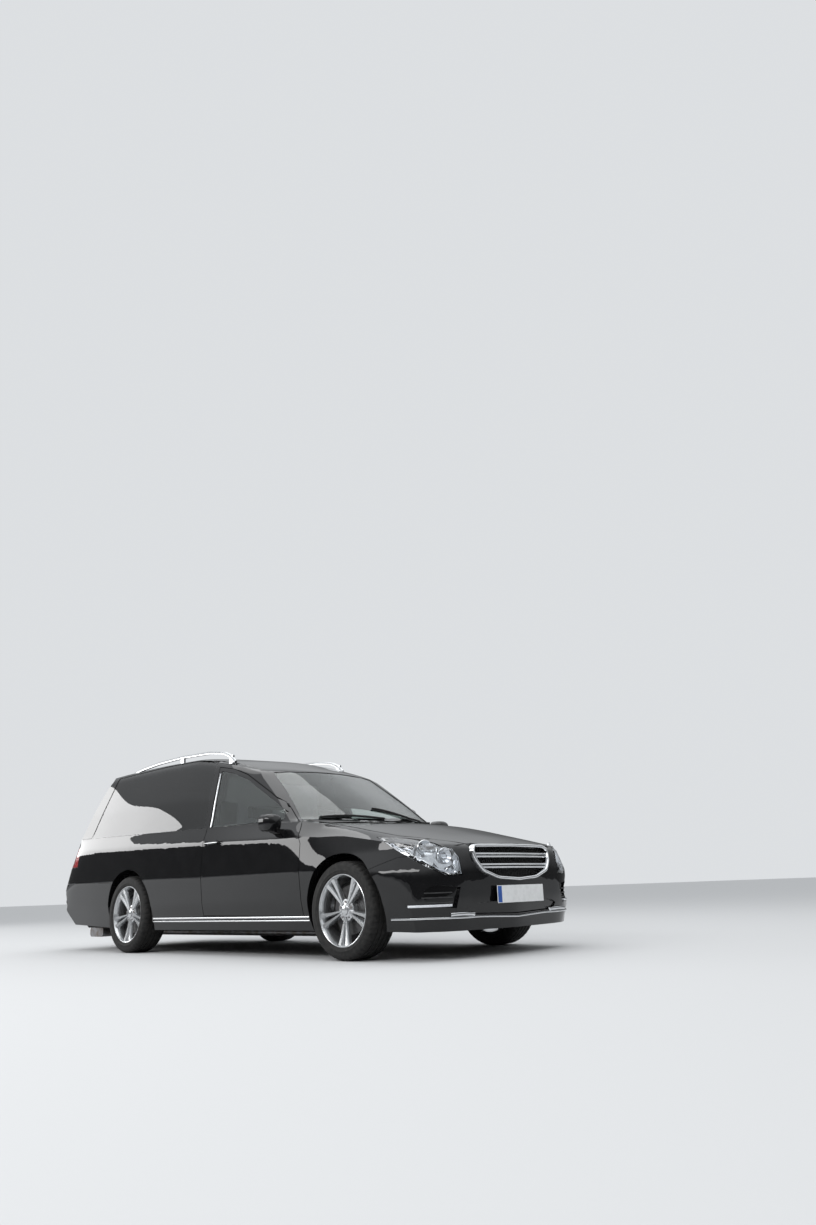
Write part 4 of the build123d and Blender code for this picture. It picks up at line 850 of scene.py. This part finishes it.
# Door mirrors: a moulded shell round a tilting glass, on a foot screwed to the door below the window's
# front corner.
MIRROR_CENTRE = (0.987, 0.955, 0.967)
MIRROR_SIZE = (0.073, 0.0785, 0.0655)
MIRROR_BACK = -0.6
MIRROR_TIP, MIRROR_ROUND, MIRROR_SQUARE = 0.02, 2.6, 0.62
MIRROR_GLASS = (0.00175, 0.054, 0.056)
MIRROR_FOOT = [(0.984, 0.862, 0.894), (0.983, 0.89, 0.9), (0.982, 0.925, 0.908), (0.981, 0.955, 0.925)]
MIRROR_SILVER = ((0.75, 0.77, 0.8), (0.7, 0.72, 0.75))
mirror_face = surface("mirror_face", MIRROR_SILVER, 4.0, (0.0, 0.03), 0.01, 0.0001, 1.0)


def mirror_shell(side):
    """A rounded shell with its back cut flat for the glass."""
    verts, faces = [], []
    rows, columns = 14, 28
    for row in range(rows + 1):
        up = MIRROR_BACK + (1 - MIRROR_BACK) * row / rows
        size = max(MIRROR_TIP, (1 - min(max(up, 0.0), 1.0) ** MIRROR_ROUND) ** (1 / MIRROR_ROUND))
        for column in range(columns):
            turn = 2 * math.pi * column / columns
            round_shares = (math.cos(turn), math.sin(turn))
            wide, high = (math.copysign(abs(share) ** MIRROR_SQUARE, share) * size for share in round_shares)
            verts.append((
                MIRROR_CENTRE[0] + up * MIRROR_SIZE[0], side * (MIRROR_CENTRE[1] + wide * MIRROR_SIZE[1]),
                MIRROR_CENTRE[2] + high * MIRROR_SIZE[2],
            ))
    for start in range(0, rows * columns, columns):
        for column in range(columns):
            after = (column + 1) % columns
            faces.append((start + column, start + after, start + columns + after, start + columns + column))
    faces += [tuple(range(columns)), tuple(range(rows * columns, (rows + 1) * columns))]
    return mesh_of("mirror", verts, faces)


for side, door in DOOR_SIDES:
    foot_points = [(x, side * y, z) for x, y, z in MIRROR_FOOT]
    foot = sweep(foot_points, [(0, 0, 1)] * 4, rounded(0.032, 0.013, -0.013, 0.9))
    glass_x = MIRROR_CENTRE[0] + MIRROR_BACK * MIRROR_SIZE[0] - 0.00225
    glass = box_at((glass_x, side * MIRROR_CENTRE[1], MIRROR_CENTRE[2]), MIRROR_GLASS)
    add_piece("mirror_" + door, [mirror_shell(side)], paint, door, 45)
    add_piece("mirror_foot_" + door, [foot], moulded, door, 60)
    add_piece("mirror_glass_" + door, [glass], mirror_face, door)

# Roof rails: extruded satin aluminium, bent down at both ends and screwed through the roof's edge.
RAIL_Y = 0.625
RAIL_LINE = [
    (0.06, 1.566), (0.022, 1.612), (-0.098, 1.662), (-0.328, 1.692), (-0.778, 1.708), (-1.178, 1.7),
    (-1.528, 1.672), (-1.678, 1.642), (-1.752, 1.6),
]
RAIL_FEET = [(-0.778, 1.708), (0.0, 1.63), (-1.692, 1.636)]
FOOT_HALF_X, FOOT_HALF_Y, FOOT_LOW_Z = 0.03, 0.011, 1.55
SATIN = ((0.55, 0.56, 0.57), (0.48, 0.49, 0.5))
satin = surface("satin_aluminium", SATIN, 40.0, (0.22, 0.34), 0.05, 0.0003, 1.0)
rail_meshes = []
for side in (1, -1):
    line = resampled(RAIL_LINE, 0.03)
    rail_meshes.append(sweep(
        [(x, side * RAIL_Y, z) for x, z in line], [(0, 0, 1)] * len(line), rounded(0.014, 0.013, -0.013, 0.9),
    ))
    for foot_x, foot_z in RAIL_FEET:
        foot_low = (foot_x - FOOT_HALF_X, side * RAIL_Y - FOOT_HALF_Y, FOOT_LOW_Z)
        rail_meshes.append(flat_box(foot_low, (foot_x + FOOT_HALF_X, side * RAIL_Y + FOOT_HALF_Y, foot_z)))
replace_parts(add_piece("roof_rails", rail_meshes, satin, angle=50), "roof_rails")

# Tail lamps: red moulded lenses screwed into the rear quarters, with clear bands for the reversing lamp. The
# tailgate carries a plated bar, a blank plate and a high stop lamp.
BAND_HEIGHTS = (0.826, 0.892)
BAND_REACH = (0.722, 0.854)
BAR_Z, REAR_PLATE_Z, STOP_Z = 0.905, 0.8, 1.566
TAIL_RED = ((0.32, 0.004, 0.006), (0.24, 0.003, 0.005))
red_lens = surface("red_lens", TAIL_RED, 90.0, (0.06, 0.12), 0.15, 0.0008, 0.0, 0.6)
dressed("tail_lamps", [red_lens, red_lens, moulded])


def on_tail(y, z):
    """The tail's skin at a place across and up it."""
    return on_skin((-3.2, y, z), (1, 0, 0))[0]


def tail_strip(places, section):
    """A strip across the tail through (y, z) points."""
    return sweep([on_tail(y, z) for y, z in places], [(-1, 0, 0)] * len(places), section)


bands = [
    tail_strip([(side * y, z) for y in np.linspace(*BAND_REACH, 7)], rounded(0.004, 0.0015, -0.001))
    for side in (1, -1) for z in BAND_HEIGHTS
]
add_piece("tail_bands", bands, led_white)
bar = tail_strip([(y, BAR_Z) for y in np.linspace(-0.36, 0.36, 19)], rounded(0.011, 0.008, -0.002))
add_piece("tailgate_bar", [bar], chrome, "tailgate")
plate("rear_plate", on_tail(0, REAR_PLATE_Z).x - 0.014, REAR_PLATE_Z, -1, "tailgate")
stop_lamp = tail_strip([(y, STOP_Z) for y in np.linspace(-0.17, 0.17, 9)], rounded(0.009, 0.006, -0.002))
add_piece("high_stop_lamp", [stop_lamp], red_lens, "tailgate")

# Wipers: pressed steel arms on the scuttle with rubber blades that rest on the glass.
WIPERS = [((1.285, 0.5), (1.16, -0.06)), ((1.31, -0.06), (1.14, -0.6))]
WIPER_LIFT = 0.012
RUBBER_BLACK = ((0.012, 0.012, 0.012), (0.02, 0.02, 0.02))
rubber = surface("rubber", RUBBER_BLACK, 60.0, (0.55, 0.8), 0.2, 0.0005)


def on_screen(x, y):
    """The windscreen or scuttle below a place in plan."""
    for tree in (glass_tree, skin_tree):
        point, normal, _, _ = tree.ray_cast(Vector((x, y, 2.2)), Vector((0, 0, -1)), 3.0)
        if point and normal.z > 0.1:
            return point, normal
    return on_skin((x, y, 2.2), (0, 0, -1))


wiper_meshes = []
for (foot_x, foot_y), (tip_x, tip_y) in WIPERS:
    points, outs = [], []
    for step in range(15):
        share = step / 14
        point, normal = on_screen(foot_x + (tip_x - foot_x) * share, foot_y + (tip_y - foot_y) * share)
        points.append(point + normal * WIPER_LIFT)
        outs.append(normal)
    wiper_meshes.append(sweep(points, outs, rounded(0.006, 0.006, -0.01, 0.6)))
add_piece("wipers", wiper_meshes, rubber)

# Wheels: black radial tyres with four grooves round the tread and cut shoulders, on silver cast alloy rims
# with five pairs of spokes, bolted to the hubs with five bolts under a plain cap.
TYRE_R, RIM_R = 0.3275, 0.2415
TYRE_HALF = 0.1175
RIM_HALF = 0.1085
SPOKE_PAIRS = 5
SPOKE_LEAN = (8.0, 8.5)
SPOKE_STATIONS = 9
TREAD_STEPS = 240
SHOULDER = [
    (RIM_R - 0.004, 0.014), (RIM_R + 0.006, 0.003), (RIM_R + 0.02, 0.001), (RIM_R + 0.024, -0.001),
    (RIM_R + 0.028, 0.001), (RIM_R + 0.05, 0.0), (TYRE_R - 0.028, 0.002), (TYRE_R - 0.017, 0.007),
    (TYRE_R - 0.0105, 0.013), (TYRE_R - 0.005, 0.022), (TYRE_R - 0.002, 0.032),
]
GROOVES = [-0.058, -0.02, 0.02, 0.058]
GROOVE_SECTION = [(0.0, -0.0055), (0.0065, -0.004), (0.0065, 0.004), (0.0, 0.0055)]
CROWN = 0.0012
SHOULDER_Y, RIB_Y = 0.0635, 0.012
SIPE_EVERY = 5
WHEELS = {
    "front_left": (1.722, 0.7925, 1), "front_right": (1.722, -0.7925, -1),
    "rear_left": (-1.152, 0.7975, 1), "rear_right": (-1.152, -0.7975, -1),
}
TYRE_TINT = ((0.012, 0.012, 0.012), (0.024, 0.023, 0.022))
ALLOY_TINT = ((0.56, 0.57, 0.58), (0.5, 0.51, 0.52))
DISC_TINT = ((0.15, 0.15, 0.152), (0.1, 0.097, 0.094))
tyre_black = surface("tyre_black", TYRE_TINT, 35.0, (0.6, 0.85), 0.3, 0.0008)
alloy = surface("alloy_silver", ALLOY_TINT, 45.0, (0.2, 0.3), 0.05, 0.0003, 0.9, 0.4)
disc_steel = surface("disc_steel", DISC_TINT, 50.0, (0.35, 0.55), 0.2, 0.0005, 0.9)
tyre_black.node_tree.nodes["Principled BSDF"].inputs["Specular IOR Level"].default_value = 0.25

tread = [(radius, inset - TYRE_HALF) for radius, inset in SHOULDER]
for groove in GROOVES:
    flat = TYRE_R - CROWN * (abs(groove) / GROOVES[-1])
    tread += [(flat - deep, groove + across) for deep, across in GROOVE_SECTION]
tread += [(radius, -y) for radius, y in reversed(tread[:len(SHOULDER)])]


def sipes(step, number, radius, y):
    """Cuts across the shoulders of the tread and short slits between the grooves."""
    if abs(y) > SHOULDER_Y and radius > TYRE_R - 0.012 and step % SIPE_EVERY == 0:
        return radius - 0.006
    if RIB_Y < abs(y) < SHOULDER_Y and radius > TYRE_R - 0.003 and step % SIPE_EVERY == 2:
        return radius - 0.002
    return radius


SPOKE_FOOT_R, SPOKE_TIP_R = 0.045, RIM_R - 0.012
SPOKE_SECTION = [(-1.35, -0.034), (-1.05, -0.006), (-0.7, 0.0), (0.7, 0.0), (1.05, -0.006), (1.35, -0.034)]


def spoke_mesh(pair, lean):
    """One spoke, from the hub out to the barrel, its face drawn in towards the hub."""
    foot, tip = (math.radians(-90 + pair * 360 / SPOKE_PAIRS + lean * degrees) for degrees in SPOKE_LEAN)
    near = Vector((SPOKE_FOOT_R * math.cos(foot), 0, SPOKE_FOOT_R * math.sin(foot)))
    far = Vector((SPOKE_TIP_R * math.cos(tip), 0, SPOKE_TIP_R * math.sin(tip)))
    across = (far - near).cross(Vector((0, 1, 0))).normalized()
    verts, faces = [], []
    for step in range(SPOKE_STATIONS):
        share = step / (SPOKE_STATIONS - 1)
        point = near.lerp(far, share)
        point.y = RIM_HALF - 0.03 + 0.022 * share ** 1.5
        half = 0.0066 + 0.008 * share + 0.003 * max(0.0, share - 0.85) / 0.15
        verts += [point + across * (half * wide) + Vector((0, deep, 0)) for wide, deep in SPOKE_SECTION]
    size = len(SPOKE_SECTION)
    last = (SPOKE_STATIONS - 1) * size
    for start in range(0, last, size):
        end = start + size
        faces += [(start + n, start + (n + 1) % size, end + (n + 1) % size, end + n) for n in range(size)]
    faces += [tuple(range(size)), tuple(range(last, last + size))]
    return mesh_of("spoke", verts, faces)


# Columns of BARREL: how far outside the rim's radius, which side, how far in from that side's edge.
BARREL = [
    (-0.0175, -1, 0.004), (-0.002, -1, -0.001), (0.001, -1, 0.008), (-0.0005, -1, 0.016), (-0.0005, 1, 0.016),
    (0.001, 1, 0.008), (-0.0005, 1, 0.001), (-0.004, 1, -0.001), (-0.008, 1, 0.001), (-0.0105, 1, 0.008),
    (-0.0175, 1, 0.018), (-0.021, 1, 0.05), (-0.0175, -1, 0.004),
]
# Columns of HUB and BOLT: radius, how far in from the rim's outer edge.
HUB = [
    (0.0001, 0.0235), (0.024, 0.0245), (0.03, 0.027), (0.031, 0.034), (0.035, 0.036), (0.06, 0.036),
    (0.073, 0.041), (0.0775, 0.05),
]
HUB_BACK = 0.026
BOLT = [(0.0001, 0.0295), (0.0075, 0.0295), (0.0088, 0.031), (0.0088, 0.0375)]
BOLT_COUNT, BOLT_CIRCLE = 5, 0.056
barrel = [(RIM_R + out, side * (RIM_HALF - inset)) for out, side, inset in BARREL]
hub = [(radius, RIM_HALF - inset) for radius, inset in HUB] + [(0.0775, HUB_BACK), (0.0001, HUB_BACK)]
disc = [
    (0.0001, 0.0235), (0.088, 0.0235), (0.09, 0.0205), (0.163, 0.0205), (0.165, 0.0185), (0.165, -0.0015),
    (0.163, -0.0035), (0.0225, -0.0035),
]
shield = [
    (0.05, -0.0095), (0.188, -0.0095), (0.194, -0.004), (0.194, 0.004), (0.196, 0.004), (0.196, -0.006),
    (0.19, -0.0115), (0.05, -0.0115),
]
rim_parts = [lathe(barrel, 96), lathe(hub, 60)]
for pair in range(SPOKE_PAIRS):
    rim_parts += [spoke_mesh(pair, lean) for lean in (-1, 1)]
bolts = []
for bolt in range(BOLT_COUNT):
    turn = math.radians(90 + bolt * 360 / BOLT_COUNT)
    seat = Matrix.Translation((BOLT_CIRCLE * math.cos(turn), 0, BOLT_CIRCLE * math.sin(turn)))
    bolts.append(placed(lathe([(radius, RIM_HALF - inset) for radius, inset in BOLT], 6), seat))
rim_mesh = merged(rim_parts, "rim_mesh", alloy, 35)
bolt_mesh = merged(bolts, "bolt_mesh", steel, 35)
disc_mesh = finished(lathe(disc, 72), "disc_mesh", disc_steel, 35)
tyre_mesh = finished(lathe(tread, TREAD_STEPS, sipes), "tyre_mesh", tyre_black, 35)
shield_mesh = finished(lathe(shield, 48), "shield_mesh", underseal, 35)
WHEEL_PIECES = [
    ("tyre_", tyre_mesh, "tyre", "tyre_"), ("rim_", rim_mesh, "alloy", "rim_"),
    ("bolts_", bolt_mesh, "steel", None), ("disc_", disc_mesh, "steel", None),
    ("shield_", shield_mesh, "underseal", None),
]
for place, (wheel_x, wheel_y, side) in WHEELS.items():
    body = "wheel_" + place
    holder = "knuckle_" + place.split("_")[1] if place.startswith("front") else "body"
    for label, source, slot_name, stands_for in WHEEL_PIECES:
        copy = source.copy()
        if side < 0:
            copy.transform(Matrix.Diagonal((1, -1, 1, 1)))
            copy.flip_normals()
        piece = add_object(label + place, copy)
        piece.location = (wheel_x, wheel_y, TYRE_R)
        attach(piece, holder if source is shield_mesh else body)
        if stands_for:
            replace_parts(piece, stands_for + place)

# Seats: foam pads in sewn black leather on a moulded base, slid onto rails on the floor. Each pad is blown up
# by a short cloth run from a slightly smaller form, then its seams are drawn in.
SEAT_PLACES = {"left": 0.37, "right": -0.37}
CUSHION = [
    (0.672, 0.362), (0.664, 0.448), (0.61, 0.472), (0.42, 0.458), (0.3, 0.444), (0.222, 0.43), (0.2, 0.362),
]
BACKREST = [
    (0.258, 0.488), (0.15, 1.012), (0.125, 1.035), (0.08, 1.038), (0.058, 1.02), (0.136, 0.55),
    (0.168, 0.488),
]
HEADREST = [(0.124, 1.088), (0.117, 1.17), (0.09, 1.19), (0.06, 1.188), (0.042, 1.168), (0.05, 1.088)]
SEAT_BASE = ((0.226, -0.176, 0.243), (0.638, 0.176, 0.35))
# Columns: low x, high x, how far to each side, half width, low z, high z of a side cover and of its rail.
SEAT_SIDES = [(0.19, 0.64, 0.2, 0.012, 0.33, 0.39), (0.2, 0.66, 0.165, 0.015, 0.24, 0.262)]
POST_FOOT, POST_APART = (0.095, 1.025), 0.05
PRESSURE, CLOTH_FRAMES = 4.0, 20
CUSHION_SEAM_Y, CUSHION_BACK_X, CUSHION_FRONT_X, CUSHION_PITCH = 0.155, 0.24, 0.6, 0.09
BACK_SEAM_Y, BACK_LOW_Z, BACK_HIGH_Z, BACK_PITCH = 0.15, 0.58, 0.98, 0.1
HEAD_SEAM_Y = 0.085
VOXEL = 0.009
PAD_CAP = 0.024
SEAM_DEPTH, SEAM_WIDE = 0.006, 0.006
LEATHER = ((0.02, 0.019, 0.018), (0.03, 0.029, 0.027))
leather = surface("seat_leather", LEATHER, 130.0, (0.38, 0.55), 0.5, 0.0012)


def settle(piece):
    """Put an object's modifiers into its mesh."""
    graph = bpy.context.evaluated_depsgraph_get()
    piece.data = bpy.data.meshes.new_from_object(piece.evaluated_get(graph))
    piece.modifiers.clear()


def blown_pad(name, profile, half, seams):
    """A pad across the seat from a side profile; seams gives how far a point is from its nearest seam."""
    count = len(profile)
    verts = [(x, side * half, z) for side in (-1, 1) for x, z in profile]
    faces = [tuple(range(count)), tuple(reversed(range(count, 2 * count)))]
    faces += [(n, n + count, (n + 1) % count + count, (n + 1) % count) for n in range(count)]
    pad = add_object(name, mesh_of(name, verts, faces))
    remesh = pad.modifiers.new("remesh", "REMESH")
    remesh.mode = "VOXEL"
    remesh.voxel_size = VOXEL
    settle(pad)
    before = [vert.co.copy() for vert in pad.data.vertices]
    cloth = pad.modifiers.new("cloth", "CLOTH")
    cloth.settings.use_pressure = True
    cloth.settings.uniform_pressure_force = PRESSURE
    cloth.settings.effector_weights.gravity = 0.0
    for frame_number in range(1, CLOTH_FRAMES + 1):
        bpy.context.scene.frame_set(frame_number)
    settle(pad)
    bpy.context.scene.frame_set(1)
    for vert, first in zip(pad.data.vertices, before):
        moved = vert.co - first
        if moved.length > PAD_CAP:
            vert.co = first + moved.normalized() * PAD_CAP
    finer = pad.modifiers.new("finer", "SUBSURF")
    finer.levels = 1
    finer.render_levels = 1
    settle(pad)
    mesh = pad.data
    normals = [vert.normal.copy() for vert in mesh.vertices]
    for vert, normal in zip(mesh.vertices, normals):
        away = seams(vert.co)
        vert.co -= normal * (SEAM_DEPTH * math.exp(-(away / SEAM_WIDE) ** 2))
    bpy.data.objects.remove(pad)
    mesh.name = name
    mesh.materials.clear()
    mesh.materials.append(leather)
    mesh.shade_smooth()
    return mesh


def cushion_seams(point):
    """Side seams, a front seam and four cross channels on the cushion."""
    side = abs(point.y)
    away = min(abs(side - CUSHION_SEAM_Y), abs(point.x - CUSHION_FRONT_X) if side < CUSHION_SEAM_Y else 1.0)
    if side < CUSHION_SEAM_Y and point.x < CUSHION_FRONT_X:
        away = min(away, abs((point.x - CUSHION_BACK_X) % CUSHION_PITCH - CUSHION_PITCH / 2))
    return away


def back_seams(point):
    """Side seams and cross channels on the backrest."""
    away = abs(abs(point.y) - BACK_SEAM_Y)
    if abs(point.y) < BACK_SEAM_Y and BACK_LOW_Z < point.z < BACK_HIGH_Z:
        away = min(away, abs((point.z - BACK_LOW_Z) % BACK_PITCH - BACK_PITCH / 2))
    return away


def head_seams(point):
    """One seam round the headrest's side."""
    return abs(abs(point.y) - HEAD_SEAM_Y)


pads = [
    blown_pad("seat_cushion", CUSHION, 0.212, cushion_seams),
    blown_pad("seat_back", BACKREST, 0.205, back_seams),
    blown_pad("headrest", HEADREST, 0.112, head_seams),
]
post = lathe([(0.0001, 0.0), (0.006, 0.0), (0.006, 0.09), (0.0001, 0.09)], 16)
for place, seat_y in SEAT_PLACES.items():
    for pad_mesh in pads:
        pad = new_piece(pad_mesh.name.split(".")[0] + "_" + place, pad_mesh.copy())
        pad.data.transform(Matrix.Translation((0, seat_y, 0)))
        if pad_mesh is pads[0]:
            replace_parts(pad, "seats")
    posts = []
    for shift in (-POST_APART, POST_APART):
        foot = Matrix.Translation((POST_FOOT[0], seat_y + shift, POST_FOOT[1]))
        posts.append(placed(post.copy(), foot @ Matrix.Rotation(math.radians(90), 4, "X")))
    add_piece("headrest_posts_" + place, posts, steel)
    low, high = (Vector(corner) + Vector((0, seat_y, 0)) for corner in SEAT_BASE)
    base = [flat_box(low, high)]
    for side in (1, -1):
        for low_x, high_x, apart, half, low_z, high_z in SEAT_SIDES:
            middle_y = seat_y + side * apart
            base.append(flat_box((low_x, middle_y - half, low_z), (high_x, middle_y + half, high_z)))
    add_piece("seat_base_" + place, base, moulded)

# Dashboard: a moulded carrier clipped across the body with a hood over the instruments, air vents, a dark
# screen and the gear selector on the console. The steering wheel is a leather-bound ring on its column.
DASH_TOP_Z = 0.93
HOOD_PLACE, HOOD_HALF, HOOD_RISE = (0.842, 0.37, DASH_TOP_Z - 0.012), 0.165, 0.048
VENT_PLACES = (-0.6, -0.1, 0.1, 0.6)
# Columns: half width, low x, high x, low z, high z of a vent's three slats and of its frame's two edges.
VENT_BARS = [
    (0.05, 0.795, 0.806, 0.845, 0.85), (0.05, 0.795, 0.806, 0.858, 0.863), (0.05, 0.795, 0.806, 0.871, 0.876),
    (0.058, 0.798, 0.808, 0.834, 0.842), (0.058, 0.798, 0.808, 0.88, 0.886),
]
SCREENS = [
    ((0.8, -0.1, 0.79), (0.812, 0.1, 0.83)),
    ((0.835, 0.24, DASH_TOP_Z - 0.02), (0.842, 0.5, DASH_TOP_Z + 0.028)),
]
SELECTOR = [
    (0.0001, 0.0), (0.026, 0.0), (0.02, 0.012), (0.009, 0.02), (0.008, 0.07), (0.019, 0.08), (0.021, 0.1),
    (0.0001, 0.112),
]
SELECTOR_FOOT = (0.62, 0, 0.52)
SCREEN_BLACK = ((0.004, 0.004, 0.005), (0.006, 0.006, 0.007))
coat_nodes(["dashboard"], cabin_trim)
eased_edges = nodes["dashboard"].modifiers.new("eased_edges", "BEVEL")
eased_edges.width = 0.012
eased_edges.segments = 3
screen_black = surface("screen_black", SCREEN_BLACK, 20.0, (0.08, 0.14), 0.02, 0.0002, 0.0, 0.8)
hood_x, hood_y, hood_z = HOOD_PLACE
hood_turns = [math.pi * step / 12 for step in range(13)]
hood = sweep(
    [(hood_x, hood_y + HOOD_HALF * math.cos(turn), hood_z + HOOD_RISE * math.sin(turn))
     for turn in hood_turns],
    [(0, math.cos(turn), math.sin(turn) + 0.2) for turn in hood_turns],
    rounded(0.05, 0.006, -0.004),
)
vents = [
    flat_box((low_x, vent_y - half, low_z), (high_x, vent_y + half, high_z))
    for vent_y in VENT_PLACES for half, low_x, high_x, low_z, high_z in VENT_BARS
]
add_piece("dash_trim", [hood] + vents, moulded)
add_piece("dash_screens", [flat_box(low, high) for low, high in SCREENS], screen_black)
upright = Matrix.Translation(SELECTOR_FOOT) @ Matrix.Rotation(math.radians(90), 4, "X")
add_piece("gear_selector", [placed(lathe(SELECTOR, 24), upright)], moulded)

WHEEL_CENTRE = Vector((0.657, 0.37, 0.845))
WHEEL_AXIS = Vector((-0.91355, 0, 0.40674))
STEER_R, GRIP_R = 0.182, 0.0135
wheel_across = Vector((0, 1, 0))
wheel_down = WHEEL_AXIS.cross(wheel_across)
ring_turns = [math.pi * step / 8 for step in range(17)]
ring_section = [(STEER_R + GRIP_R * math.cos(turn), GRIP_R * math.sin(turn)) for turn in ring_turns]
airbag = [
    (0.0001, 0.006), (0.045, 0.004), (0.058, -0.004), (0.061, -0.014), (0.056, -0.024), (0.0001, -0.024),
]
lean = wheel_across.rotation_difference(WHEEL_AXIS).to_matrix().to_4x4()
to_column = Matrix.Translation(WHEEL_CENTRE) @ lean
steering = [placed(lathe(ring_section, 72), to_column), placed(lathe(airbag, 48), to_column)]
for spoke_way in (wheel_across, -wheel_across, wheel_down):
    spoke_start = WHEEL_CENTRE - WHEEL_AXIS * 0.006
    points = [spoke_start + spoke_way * reach for reach in (0.045, 0.1, 0.15, STEER_R - 0.006)]
    steering.append(sweep(points, [WHEEL_AXIS] * 4, rounded(0.017, 0.005, -0.006)))
wheel_piece = add_piece("steering_wheel_ring", steering, leather, "steering_wheel")
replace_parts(wheel_piece, "steering_wheel")

# Cabin fittings: the inner mirror on the windscreen, arm rests and release handles on the doors.
# Columns: low x, high x, low z, high z, depth of the arm rest and of the handle.
DOOR_FITTINGS = [(0.22, 0.78, 0.64, 0.69, 0.05), (0.62, 0.72, 0.78, 0.81, 0.02)]
screen_point = on_skin((0.0, 0.0, 1.4), (1, 0, 0), glass_tree)[0]
mirror_back = screen_point + Vector((-0.07, 0, -0.012))
inner_mirror = box_at(mirror_back - Vector((0.003, 0, 0)), (0.009, 0.115, 0.028))
stalk = sweep(
    [mirror_back, mirror_back.lerp(screen_point, 0.5), screen_point - Vector((0.008, 0, 0))],
    [(0, 0, 1)] * 3, rounded(0.012, 0.008, -0.008),
)
add_piece("cabin_mirror", [inner_mirror, stalk], moulded)
for side, door in DOOR_SIDES:
    rests = []
    for low_x, high_x, low_z, high_z, depth in DOOR_FITTINGS:
        start = Vector(((low_x + high_x) / 2, side * 0.5, (low_z + high_z) / 2))
        point, _ = on_skin(start, (0, side, 0))
        low_y, high_y = sorted((point.y - side * depth, point.y + side * 0.004))
        rests.append(flat_box((low_x, low_y, low_z), (high_x, high_y, high_z)))
    add_piece("arm_rest_" + door, rests, cabin_trim, door, 50)

# Load deck: a varnished wooden table on side boards, with plated runners and cross rollers screwed to it.
WOOD = ((0.16, 0.065, 0.025), (0.09, 0.035, 0.013))
wood = surface("deck_wood", WOOD, 6.0, (0.16, 0.28), 0.08, 0.0004, 0.0, 0.5)
wood_tree = wood.node_tree
wood_place = [node for node in wood_tree.nodes if node.bl_idname == "ShaderNodeTexCoord"][0]
wood_grain = [node for node in wood_tree.nodes if node.bl_idname == "ShaderNodeGroup"][0]
stretch = wood_tree.nodes.new("ShaderNodeMapping")
stretch.inputs["Scale"].default_value = (0.35, 9.0, 4.0)
wood_tree.links.new(wood_place.outputs["Object"], stretch.inputs["Vector"])
wood_tree.links.new(stretch.outputs["Vector"], wood_grain.inputs["Vector"])
coat_nodes(["load_deck"], wood)
edge_strips = []
for side in (1, -1):
    points = [(x, side * 0.603, 0.7655) for x in (-0.16, -0.9, -1.6, -2.28)]
    edge_strips.append(sweep(points, [(0, 0, 1)] * 4, rounded(0.006, 0.003, -0.001)))
for runner_y in (0.25, -0.25):
    points = [(x, runner_y, 0.787) for x in (-0.2, -0.9, -1.6, -2.24)]
    edge_strips.append(sweep(points, [(0, 0, 1)] * 4, rounded(0.02, 0.0015, -0.001)))
add_piece("deck_edging", edge_strips, satin)
